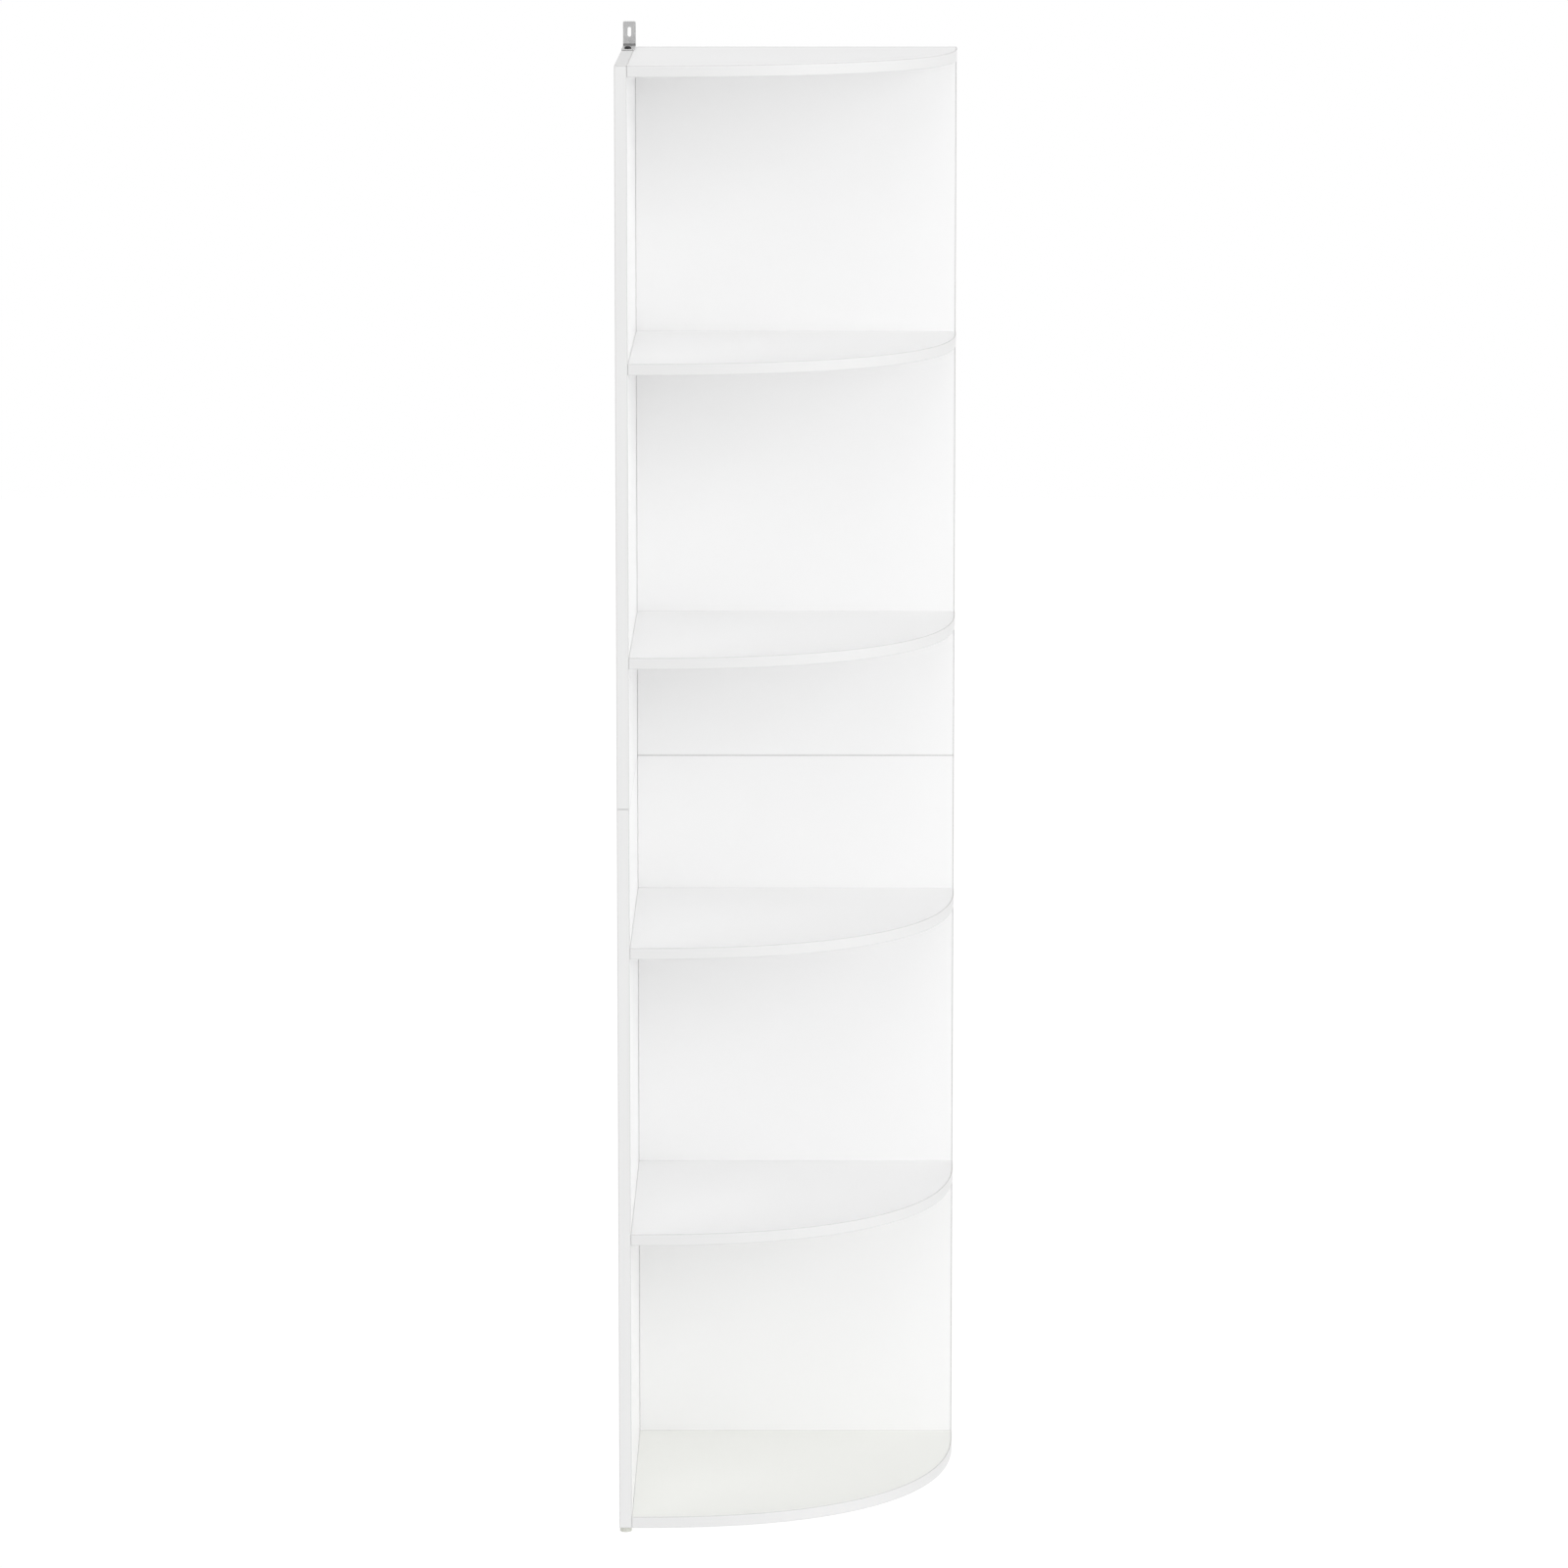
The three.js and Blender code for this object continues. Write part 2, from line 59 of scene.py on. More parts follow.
# %% Imports, the unit of length, and what the record says of each node
import json
from math import cos, pi, radians, sin

import bmesh
import bpy
from mathutils import Matrix, Vector

mm = 0.001
scene = bpy.context.scene
record = frame["record"]
slot_of = {row["node"]: row["material_slot"] for row in record["subparts"]}
body_of = {node: body for body, nodes in record["behaviour"]["bodies"].items() for node in nodes}
boards = [node for node, slot in slot_of.items() if slot == "white_foil" and "panel" not in node]
print("boards, from the floor up:", boards)

# %% [markdown]
# ## A few words for shader nodes
# A finish is a tree of nodes. Writing each node out takes four lines, so a few small helpers do it:
# one adds a node and feeds its inputs, with a plain value or with another node's output; one mixes
# two colours by a mask; one spreads a value over a range; and two make groups and place them. Groups
# hold what several finishes share, and they put out only masks, heights and other plain values. The
# shader stays in the material.

# %% Nodes
def add(tree, kind, inputs=None, **settings):
    """Adds a shader node with its settings, and feeds its inputs."""
    node = tree.nodes.new(f"ShaderNode{kind}")
    for name, value in settings.items():
        setattr(node, name, value)
    for name, value in (inputs or {}).items():
        feed(tree, node.inputs[name], value)
    return node


def feed(tree, socket, value):
    if isinstance(value, bpy.types.NodeSocket):
        tree.links.new(value, socket)
    else:
        socket.default_value = value


def mixed(tree, mask, first, second):
    """A colour that goes from the first to the second as the mask goes from 0 to 1."""
    node = add(tree, "Mix", data_type="RGBA")
    feed(tree, node.inputs["Factor"], mask)
    feed(tree, node.inputs[6], first)
    feed(tree, node.inputs[7], second)
    return node.outputs[2]


def ranged(tree, value, low, high):
    """A value from 0 to 1, spread over another range."""
    return add(tree, "MapRange", {"Value": value, "To Min": low, "To Max": high}).outputs["Result"]


print("node helpers ready")

# %% Groups
def new_group(name, inputs, outputs):
    """An empty group, and the sockets inside it that stand for its inputs and outputs."""
    tree = bpy.data.node_groups.new(name, "ShaderNodeTree")
    for label, default in inputs.items():
        socket = tree.interface.new_socket(label, in_out="INPUT", socket_type="NodeSocketFloat")
        socket.default_value = default
    for label in outputs:
        tree.interface.new_socket(label, in_out="OUTPUT", socket_type="NodeSocketFloat")
    inside = tree.nodes.new("NodeGroupInput")
    outside = tree.nodes.new("NodeGroupOutput")
    return tree, inside.outputs, outside.inputs


def place_group(tree, group, **values):
    """Places a group in a material with its own values, and gives its outputs."""
    node = tree.nodes.new("ShaderNodeGroup")
    node.node_tree = group
    for name, value in values.items():
        node.inputs[name].default_value = value
    return node.outputs


print("group helpers ready")

# %% [markdown]
# ## The line along an edge
# Where foil meets edging, or a panel meets its neighbour, a thin grey line is laid into the colour. On
# foil and edging it is painted shade, the darkening of rounded edges and inner corners, with a little of
# the real glue joint and trimmed edge in it; on metal the same mask lays lighter wear. It could be painted
# by hand or read from the mesh, but a Bevel node finds every edge by itself. It gives the normal that a
# rounded edge would have, so where that differs from the true normal there is an edge close by.

# %% Group: edge line
def edge_line_group():
    tree, inside, outside = new_group("edge_line", {"Radius": 0.001, "Gain": 3.0}, ["Mask"])
    soft = add(tree, "Bevel", {"Radius": inside["Radius"]}, samples=6)
    true = add(tree, "NewGeometry")
    normals = {0: soft.outputs[0], 1: true.outputs["Normal"]}
    likeness = add(tree, "VectorMath", normals, operation="DOT_PRODUCT")
    turned_away = add(tree, "Math", {0: 1.0, 1: likeness.outputs["Value"]}, operation="SUBTRACT")
    mask = add(tree, "Math", {0: turned_away.outputs[0], 1: inside["Gain"]}, operation="MULTIPLY")
    mask.use_clamp = True
    feed(tree, outside["Mask"], mask.outputs[0])
    return tree


edge_line = edge_line_group()
print("group:", edge_line.name)

# %% [markdown]
# ## Fine grain
# No sheet, moulding or casting is perfectly smooth. Pressed foil has a fine pearl, extruded edging
# has lines along its length, and a casting has the skin of its mould. One noise serves them all: its
# scale sets how fine the grain is, and a factor on z draws it out into lines, along z below 1 and
# across z above. The group gives the fine height for a Bump node, and a slow tone that keeps large
# faces from looking flat.

# %% Group: fine grain
def fine_grain_group():
    inputs = {"Scale": 900.0, "Stretch": 1.0, "Slow": 3.0}
    tree, inside, outside = new_group("fine_grain", inputs, ["Height", "Tone"])
    place = add(tree, "TexCoord").outputs["Object"]
    factors = add(tree, "CombineXYZ", {"X": 1.0, "Y": 1.0, "Z": inside["Stretch"]})
    drawn = add(tree, "VectorMath", {0: place, 1: factors.outputs[0]}, operation="MULTIPLY")
    fine = add(tree, "TexNoise", {"Vector": drawn.outputs[0], "Scale": inside["Scale"], "Detail": 3.0})
    slow = add(tree, "TexNoise", {"Vector": place, "Scale": inside["Slow"], "Detail": 2.0})
    feed(tree, outside["Height"], fine.outputs[0])
    feed(tree, outside["Tone"], slow.outputs[0])
    return tree


fine_grain = fine_grain_group()
print("group:", fine_grain.name)

# %% [markdown]
# ## Handling
# Hands, cloths and packing leave a surface with patches that shine a little more or less. They
# change the roughness and hardly the colour. A noise bent by another noise gives smears with no
# clear direction, and a few fine scratches lie over them.

# %% Group: handling
def handling_group():
    tree, inside, outside = new_group("handling", {"Size": 6.0, "Scratch": 60.0}, ["Smear", "Scratches"])
    place = add(tree, "TexCoord").outputs["Object"]
    bending = {"Vector": place, "Scale": inside["Size"], "Detail": 4.0, "Distortion": 1.5}
    smear = add(tree, "TexNoise", bending)
    slant = add(tree, "Mapping", {"Vector": place, "Rotation": (0.5, 0.9, 0.3), "Scale": (1.0, 14.0, 2.0)})
    lines = add(tree, "TexNoise", {"Vector": slant.outputs[0], "Scale": inside["Scratch"], "Detail": 2.0})
    thin = add(tree, "MapRange", {"Value": lines.outputs[0], "From Min": 0.68, "From Max": 0.74})
    feed(tree, outside["Smear"], smear.outputs[0])
    feed(tree, outside["Scratches"], thin.outputs["Result"])
    return tree


handling = handling_group()
print("group:", handling.name)

# %% [markdown]
# ## A finish in layers
# Foil, edging, plating, castings and mouldings all build up in the same way: a tone that wanders slowly
# between two colours, scratches on some, the line along the edges (painted shade on foil and edging, wear
# on metal), smears that change the gloss, and a fine grain in the surface. A tree for each would repeat
# the others, so one function lays the layers, and each finish hands it values of its own. A shade level
# below 1 turns a whole finish darker, for a copy that carries painted shade. A few finishes differ more
# than that, such as wood, and start from the same bare shader.

# %% The bare shader and the layers
def new_finish(name, roughness=0.5, metallic=0.0):
    """A material with a bare Principled shader, its tree and the shader's inputs."""
    material = bpy.data.materials.new(name)
    material.use_nodes = True
    tree = material.node_tree
    shader = tree.nodes["Principled BSDF"].inputs
    shader["Roughness"].default_value = roughness
    shader["Metallic"].default_value = metallic
    return material, tree, shader


def bumped(tree, shader, height, depth):
    """Raises the surface by a height from 0 to 1 times a depth."""
    bump = add(tree, "Bump", {"Height": height, "Distance": depth})
    feed(tree, shader["Normal"], bump.outputs[0])


def opaque(tone, shade_level=1.0):
    """A colour as a node takes it, from a grey or from red, green and blue, at a shade level: below 1 it
    is painted shade.
    """
    parts = [tone] * 3 if isinstance(tone, float) else tone
    return (*[shade_level * part for part in parts], 1.0)


def layered(
    name, grain, line, marks, tones, edge, roughness, depth,
    scratch=None, shade_level=1.0, metallic=0.0, skin=False,
):
    """Lays a finish's layers. Grain, line and marks are the values of the three groups. The smears
    set the roughness between its two ends, or the grain does where a skin is asked for."""
    material, tree, shader = new_finish(name, metallic=metallic)
    texture = place_group(tree, fine_grain, **grain)
    rim = place_group(tree, edge_line, **line)
    wear = place_group(tree, handling, **marks)
    dull, pale = [opaque(tone, shade_level) for tone in tones]
    colour = mixed(tree, texture["Tone"], dull, pale)
    if scratch:
        colour = mixed(tree, wear["Scratches"], colour, opaque(scratch, shade_level))
    # Along the edges the colour turns to the edge colour: painted shade on foil and edging, wear on metal.
    feed(tree, shader["Base Color"], mixed(tree, rim["Mask"], colour, opaque(edge, shade_level)))
    gloss = texture["Height"] if skin else wear["Smear"]
    feed(tree, shader["Roughness"], ranged(tree, gloss, *roughness))
    bumped(tree, shader, texture["Height"], depth)
    return material


print("layers ready")

# %% [markdown]
# ## White foil
# The panels and boards are chipboard under a white foil with a satin face. Its whiteness is a little
# uneven over a metre, its pearl is far too fine to see from a step away, and its edges carry the grey
# line, which is painted shade. The bottom board's foil leans a little to green, so the tint is a value.

# %% Finish: white foil
def foil_finish(name, tint):
    return layered(
        name,
        grain={"Scale": 1300.0, "Slow": 2.2},
        line={"Radius": 3 * mm, "Gain": 6.0},
        marks={"Size": 4.0},
        tones=[[share * tone for share in tint] for tone in (0.935, 0.95)],
        # Grey along the edges and in inner corners: painted shade, with a little of the glue joint in it.
        edge=(0.70, 0.70, 0.695),
        roughness=(0.36, 0.52),
        depth=0.02 * mm,
    )


white_foil = foil_finish("satin_white_foil", tint=(1.0, 1.0, 1.0))
green_white_foil = foil_finish("satin_green_white_foil", tint=(0.994, 1.0, 0.966))
print("finishes:", white_foil.name, green_white_foil.name)

# %% [markdown]
# ## Edging
# The edging is a plastic strip, extruded, glued to the edge and trimmed flush. It is a little darker than
# the foil beside it, and its outer corners are rounded off, which is where the grey line of painted shade
# shows most. Fine lines run level, along the boards' curved strips. The upright strips take the same
# lines, since they are too fine to show there. The curved strips take a copy of the edging turned down a
# touch, as painted shade, so that the curved fronts read a little darker than the board tops.

# %% Finish: edging
def edging_finish(name, line_reach, shade_level=1.0):
    return layered(
        name,
        grain={"Scale": 40.0, "Stretch": 60.0, "Slow": 2.0},
        line={"Radius": line_reach, "Gain": 6.0},
        marks={"Size": 7.0},
        tones=[(0.785, 0.786, 0.784), (0.81, 0.81, 0.808)],
        # Grey along the edges: painted shade.
        edge=(0.60, 0.60, 0.595),
        roughness=(0.42, 0.58),
        depth=0.015 * mm,
        shade_level=shade_level,
    )


edging = edging_finish("edging", line_reach=3 * mm)
# The curved strips' copy is the same edging at a shade level of 0.97: painted shade.
shaded_curved_edging = edging_finish("shaded_curved_edging", line_reach=2 * mm, shade_level=0.97)
print("finishes:", edging.name, shaded_curved_edging.name)

# %% [markdown]
# ## Chipboard
# A drilled hole cuts through the foil and shows what the board is made of: glued wood chips, straw to
# brown, coarse in the middle. Voronoi cells make the chips, each with its own tone.

# %% Finish: chipboard
def chipboard_finish():
    material, tree, shader = new_finish("chipboard", roughness=0.9)
    place = add(tree, "TexCoord").outputs["Object"]
    chips = add(tree, "TexVoronoi", {"Vector": place, "Scale": 420.0, "Randomness": 1.0})
    tone = add(tree, "SeparateColor", {"Color": chips.outputs["Color"]}).outputs[0]
    colour = mixed(tree, tone, opaque((0.36, 0.25, 0.14)), opaque((0.66, 0.52, 0.34)))
    feed(tree, shader["Base Color"], colour)
    bumped(tree, shader, chips.outputs["Distance"], depth=0.15 * mm)
    return material


chipboard = chipboard_finish()
print("finish:", chipboard.name)

# %% [markdown]
# ## Zinc-plated steel
# The wall angle and the long screws are plated bright. Plating follows the steel's own rolling lines and
# clouds slightly, and it is scuffed through to a lighter tone on the corners. The base colour of a metal
# is the colour of its reflection, so pale grey with full metallic reads as zinc. Inside the angle's bend
# the same finish is made rougher and turned down to a dark band, which is painted shade in the bend.

# %% Finishes: zinc steel, and a darker copy for painted shade in its bend
def zinc_finish(name, roughness, shade_level=1.0):
    return layered(
        name,
        grain={"Scale": 160.0, "Stretch": 0.12, "Slow": 90.0},
        line={"Radius": 0.8 * mm, "Gain": 2.5},
        marks={"Size": 60.0, "Scratch": 220.0},
        tones=[0.44, 0.56],
        scratch=0.66,
        edge=0.70,
        roughness=roughness,
        depth=0.02 * mm,
        shade_level=shade_level,
        metallic=1.0,
    )


zinc_steel = zinc_finish("bright_zinc", roughness=(0.18, 0.36))
# The same zinc, rougher and turned down to 0.4: painted shade for the inside of the bend.
shaded_bend_zinc = zinc_finish("shaded_bend_zinc", roughness=(0.36, 0.72), shade_level=0.4)
print("finishes:", zinc_steel.name, shaded_bend_zinc.name)

# %% [markdown]
# ## Cast zinc
# The cams are die-cast and tumbled: duller and darker than plate, with the skin of the mould and
# bright rims where the screwdriver has slipped.

# %% Finish: cast zinc
cast_zinc = layered(
    "cast_zinc",
    grain={"Scale": 1500.0, "Slow": 140.0},
    line={"Radius": 0.5 * mm, "Gain": 2.5},
    marks={"Size": 120.0, "Scratch": 300.0},
    tones=[(0.38, 0.385, 0.39), (0.52, 0.52, 0.525)],
    scratch=0.62,
    edge=0.68,
    roughness=(0.42, 0.66),
    depth=0.06 * mm,
    metallic=1.0,
    skin=True,
)
print("finish:", cast_zinc.name)

# %% [markdown]
# ## Dark steel
# The screw on the wall angle is blackened: nearly black, with an oily satin, and grey where the
# driver has rubbed the edges of its cross.

# %% Finish: dark steel
dark_steel = layered(
    "blackened_steel",
    grain={"Scale": 1200.0, "Slow": 160.0},
    line={"Radius": 0.35 * mm, "Gain": 2.2},
    marks={"Size": 200.0},
    tones=[(0.018, 0.018, 0.02), (0.04, 0.04, 0.042)],
    edge=0.16,
    roughness=(0.30, 0.52),
    depth=0.03 * mm,
    metallic=0.7,
)
print("finish:", dark_steel.name)

# %% [markdown]
# ## Beech
# The dowels are beech, turned along the grain. Rings pulled far out along z make the long grain, and
# short dark flecks lie in it.

# %% Finish: beech
def beech_finish():
    material, tree, shader = new_finish("turned_beech", roughness=0.75)
    place = add(tree, "TexCoord").outputs["Object"]
    drawn = add(tree, "Mapping", {"Vector": place, "Scale": (1.0, 1.0, 0.06)}).outputs[0]
    rings = add(tree, "TexNoise", {"Vector": drawn, "Scale": 700.0, "Detail": 4.0, "Distortion": 0.6})
    flecks = add(tree, "TexNoise", {"Vector": drawn, "Scale": 2600.0, "Detail": 1.0})
    dark = add(tree, "MapRange", {"Value": flecks.outputs[0], "From Min": 0.6, "From Max": 0.72})
    wood = mixed(tree, rings.outputs[0], opaque((0.56, 0.38, 0.21)), opaque((0.74, 0.57, 0.37)))
    feed(tree, shader["Base Color"], mixed(tree, dark.outputs["Result"], wood, opaque((0.36, 0.21, 0.11))))
    bumped(tree, shader, rings.outputs[0], depth=0.05 * mm)
    return material


beech = beech_finish()
print("finish:", beech.name)

# %% [markdown]
# ## Moulded plastic
# The feet are pale grey-green plastic, and their sockets a whiter one. Both have the matt skin of the
# mould, and the feet are scuffed where they slide over the floor. One function makes both.

# %% Finishes: foot plastic and socket plastic
def plastic_finish(name, shade, pale, edge):
    return layered(
        name,
        grain={"Scale": 1800.0, "Slow": 70.0},
        line={"Radius": 0.6 * mm, "Gain": 2.4},
        marks={"Size": 90.0, "Scratch": 260.0},
        tones=[shade, pale],
        scratch=edge,
        edge=edge,
        roughness=(0.42, 0.62),
        depth=0.04 * mm,
    )


foot_plastic = plastic_finish(
    "moulded_foot_plastic", shade=(0.62, 0.63, 0.57), pale=(0.69, 0.70, 0.64), edge=(0.47, 0.48, 0.42)
)
socket_plastic = plastic_finish(
    "moulded_socket_plastic", shade=(0.74, 0.74, 0.71), pale=(0.80, 0.80, 0.77), edge=(0.62, 0.62, 0.58)
)
print("finishes:", foot_plastic.name, socket_plastic.name)

# %% [markdown]
# ## Tools for solid pieces
# Each piece is a closed mesh made in code. Four ways of making cover them all, and each is one
# helper: turning an outline about z, raising a flat outline into a prism, easing edges, and cutting
# one mesh with others. Corners of outlines are rounded first, since no real edge is sharp.

# %% Rounded outlines
largest_reach_share = 0.45


def rounded(points, reach, steps=4, closed=False):
    """Rounds an outline's corners. Each becomes a curve that begins and ends a reach away."""
    points = [Vector(point) for point in points]
    smooth = []
    for index, corner in enumerate(points):
        if not closed and index in (0, len(points) - 1):
            smooth.append(corner)
            continue
        before = points[index - 1] - corner
        after = points[(index + 1) % len(points)] - corner
        start = corner + before.normalized() * min(reach, before.length * largest_reach_share)
        end = corner + after.normalized() * min(reach, after.length * largest_reach_share)
        for step in range(steps + 1):
            share = step / steps
            smooth.append(start * (1 - share) ** 2 + corner * 2 * share * (1 - share) + end * share**2)
    return smooth


trial_outline = rounded([(0, 0), (1, 0), (1, 1), (0, 1)], 0.2)
print("a trial outline has", len(trial_outline), "points")

# %% Opening and closing a mesh
def opened(mesh):
    """A mesh, opened for editing."""
    bm = bmesh.new()
    bm.from_mesh(mesh)
    return bm


def written(bm, mesh):
    """Writes what was edited into a mesh and closes the edit."""
    bm.to_mesh(mesh)
    bm.free()
    return mesh


def mesh_from(bm, name):
    """A new mesh from what was built or edited, with all its faces looking outwards."""
    bmesh.ops.recalc_face_normals(bm, faces=bm.faces)
    return written(bm, bpy.data.meshes.new(name))


def give_finishes(mesh, finishes):
    """Puts finishes in a mesh's slots, and keeps which face takes which."""
    kept = [face.material_index for face in mesh.polygons]
    mesh.materials.clear()
    for finish in finishes:
        mesh.materials.append(finish)
    for face, index in zip(mesh.polygons, kept):
        face.material_index = index


print("mesh helpers ready")

# %% Turned solids
shank_sides = 24


def turned(name, outline, sides, reach=None, closed=False):
    """A solid turned about z from (radius, height) points. reach(radius, angle, height) may change
    the radius on the way round, as a thread or flutes do."""
    bm = bmesh.new()
    rings = []
    for radius, height in outline:
        ring = []
        for side in range(sides if radius else 1):
            angle = 2 * pi * side / sides
            out = reach(radius, angle, height) if reach else radius
            ring.append(bm.verts.new((out * cos(angle), out * sin(angle), height)))
        rings.append(ring)
    pairs = list(zip(rings, rings[1:])) + ([(rings[-1], rings[0])] if closed else [])
    for first, second in pairs:
        for side in range(sides):
            after = side + 1
            corners = [first[side % len(first)], first[after % len(first)]]
            corners += [second[after % len(second)], second[side % len(second)]]
            corners = list(dict.fromkeys(corners))
            if len(corners) > 2:
                bm.faces.new(corners)
    return mesh_from(bm, name)


knob = turned("trial", trial_outline, shank_sides)
print("a trial turning has", len(knob.polygons), "faces")
bpy.data.meshes.remove(knob)

# %% Prisms and easing
def rectangle(x0, y0, x1, y1):
    """A rectangle's four corners, anticlockwise."""
    return [(x0, y0), (x1, y0), (x1, y1), (x0, y1)]


def prism(name, outline, low, high):
    """A flat outline of (x, y) points, raised from one height to another."""
    bm = bmesh.new()
    rings = [[bm.verts.new((x, y, z)) for x, y in outline] for z in (low, high)]
    for ring in rings:
        bm.faces.new(ring)
    for index in range(len(outline)):
        bm.faces.new((rings[0][index - 1], rings[0][index], rings[1][index], rings[1][index - 1]))
    return mesh_from(bm, name)


def eased(mesh, reach, steps=3, choose=None):
    """Rounds a mesh's edges, all of them or those that a rule chooses."""
    bm = opened(mesh)
    edges = [edge for edge in bm.edges if choose is None or choose(edge)]
    bmesh.ops.bevel(bm, geom=edges, offset=reach, segments=steps, profile=0.5, affect="EDGES")
    return written(bm, mesh)


block = eased(prism("trial", rectangle(0, 0, 1, 1), 0, 1), 0.1)
print("a trial block has", len(block.polygons), "faces")
bpy.data.meshes.remove(block)

# %% Sawing, placing and joining
weld_reach = 0.004 * mm


def cut_across(bm, place, normal, **sides):
    """Cuts all that is in an edit with a plane, and clears a side of it if told to."""
    everything = bm.verts[:] + bm.edges[:] + bm.faces[:]
    bmesh.ops.bisect_plane(bm, geom=everything, plane_co=place, plane_no=normal, **sides)


def close_holes(bm):
    bmesh.ops.holes_fill(bm, edges=[edge for edge in bm.edges if edge.is_boundary])


def sawn(mesh, axis, at, keep_upper):
    """Saws a mesh across an axis, keeps one side and closes the cut."""
    bm = opened(mesh)
    normal = Vector((0, 0, 0))
    normal[axis] = 1
    cut_across(bm, normal * at, normal, clear_inner=keep_upper, clear_outer=not keep_upper)
    close_holes(bm)
    kept_side = mesh_from(bm, mesh.name)
    give_finishes(kept_side, list(mesh.materials))
    return kept_side


def aimed(mesh, place, direction=(0, 0, 1)):
    """Turns a mesh that stands along z to a direction, and moves its origin to a place."""
    turn = Vector((0, 0, 1)).rotation_difference(Vector(direction)).to_matrix().to_4x4()
    mesh.transform(Matrix.Translation(place) @ turn)
    return mesh


def welded(mesh):
    """Welds the tiny edges that a Boolean leaves where faces nearly meet, and closes the pinholes."""
    bm = opened(mesh)
    bmesh.ops.remove_doubles(bm, verts=bm.verts, dist=weld_reach)
    bmesh.ops.dissolve_degenerate(bm, dist=weld_reach, edges=bm.edges)
    close_holes(bm)
    return written(bm, mesh)


def in_scene(name, data):
    """Makes an object of a mesh, a lamp or a camera and puts it in the scene."""
    thing = bpy.data.objects.new(name, data)
    scene.collection.objects.link(thing)
    return thing


def joined(mesh, tools, operation="DIFFERENCE"):
    """Cuts a mesh with tools, or unites it with them, and throws the tools away."""
    block = in_scene("block", mesh)
    helpers = [in_scene("tool", tool) for tool in tools]
    for helper in helpers:
        modifier = block.modifiers.new("join", "BOOLEAN")
        modifier.operation = operation
        modifier.solver = "EXACT"
        modifier.object = helper
    graph = bpy.context.evaluated_depsgraph_get()
    result = bpy.data.meshes.new_from_object(block.evaluated_get(graph))
    result.name = mesh.name
    for thing in [block, *helpers]:
        used = thing.data
        bpy.data.objects.remove(thing)
        bpy.data.meshes.remove(used)
    return welded(result)


print(f"joined pieces are welded within {weld_reach / mm:.3f} mm")

# %% [markdown]
# ## Drilled holes
# The boards and panels are drilled for their fittings. A drill leaves a round wall of bare
# chipboard, and its rim breaks slightly. Each hole is a turned tool that a Boolean takes out of
# the panel; the tool's own faces carry the chipboard, so the wall of the hole gets it by itself.

# %% The drill
panel_finishes = [white_foil, edging, chipboard]
foil_index, edging_index, chipboard_index = range(3)
bore_sides = 48
overrun = 2 * mm
clearance = 0.3 * mm
broken_rim = 0.15 * mm


def all_in(mesh, index):
    """Gives all faces of a mesh the finish in one slot."""
    for face in mesh.polygons:
        face.material_index = index
    return mesh


def in_chipboard(mesh):
    """Gives a mesh the panels' finishes, and chipboard on all its faces."""
    for finish in panel_finishes:
        mesh.materials.append(finish)
    return all_in(mesh, chipboard_index)


def drill(place, direction, radius, depth, rim=0):
    """The tool for a hole from a face inwards to a depth, with clearance round a fitting's radius."""
    radius += clearance
    entry = [(radius, -overrun)]
    if rim:
        entry = [(radius + rim + overrun, -overrun), (radius + rim, 0), (radius, rim)]
    outline = [(0, -overrun), *entry, (radius, depth), (0, depth)]
    return in_chipboard(aimed(turned("drill", outline, bore_sides), place, direction))


print(f"a drill has {bore_sides} sides and leaves {clearance / mm:.1f} mm round a fitting")

# %% [markdown]
# ## Putting a piece in its place
# A finished mesh becomes a piece in one step: the piece rides on its node's body, stands for the node and
# takes its finishes. Smooth shading with sharp edges marked by angle, and normals weighted by face area,
# keep the broad faces flat right up to their rounding.

# %% Dressing a node
sharp_angle = radians(38)
dressed = []


def dress(node, mesh, finishes):
    """Makes a mesh the piece that stands for a CAD node."""
    give_finishes(mesh, finishes)
    mesh.shade_smooth()
    mesh.set_sharp_from_angle(angle=sharp_angle)
    piece = in_scene(f"{node}_finished", mesh)
    even = piece.modifiers.new("even_shading", "WEIGHTED_NORMAL")
    even.keep_sharp = True
    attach(piece, body_of[node])
    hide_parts(node)
    dressed.append(node)


def middle(node):
    """The middle of a node's box."""
    low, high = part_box(node)
    return (low + high) / 2


def size_of(node):
    """The width, depth and height of a node's box."""
    return [high - low for low, high in zip(*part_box(node))]


print("slots in use:", sorted(set(slot_of.values())))

# %% [markdown]
# ## Where the fittings sit
# The holes have to meet the fittings, so they are measured from them. A cam's box holds its drum, and
# its bolt as far as the tip; a screw's, dowel's or socket's box is centred on its axis. Radii that no
# box shows, such as a bolt's inside its cam's box, are written down once, for piece and hole alike.

# %% Measuring the fittings
fit_gap = 0.2 * mm
up, down = Vector((0, 0, 1)), Vector((0, 0, -1))
left, right = Vector((-1, 0, 0)), Vector((1, 0, 0))
front = Vector((0, -1, 0))

board_low, board_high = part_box("bottom_board")
board_thickness = board_high.z - board_low.z
side_low, side_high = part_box("side_panel_lower")
back_low, back_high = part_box("back_panel_lower")
inner_x = side_high.x
rear_y = back_high.y
back_thickness = rear_y - back_low.y
drum_low, drum_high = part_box("bottom_board_cam_front")
drum_radius = (drum_high.y - drum_low.y) / 2
drum_height = drum_high.z - board_low.z
bolt_collar_radius = 4 * mm
bolt_thread_radius = 3.5 * mm
screw_radius = 2.5 * mm
screw_head_radius = 5 * mm
screw_head_depth = 3 * mm
socket_radius = 6 * mm
flange_thickness = 1.5 * mm
stem_radius = 4 * mm
cap_shank = 2.2 * mm
corner_cams = [node for node in slot_of if node.startswith("corner_cam")]
board_cams = [node for node in slot_of if "_cam_" in node and node not in corner_cams]
board_screws = [node for node in slot_of if "_screw_" in node]


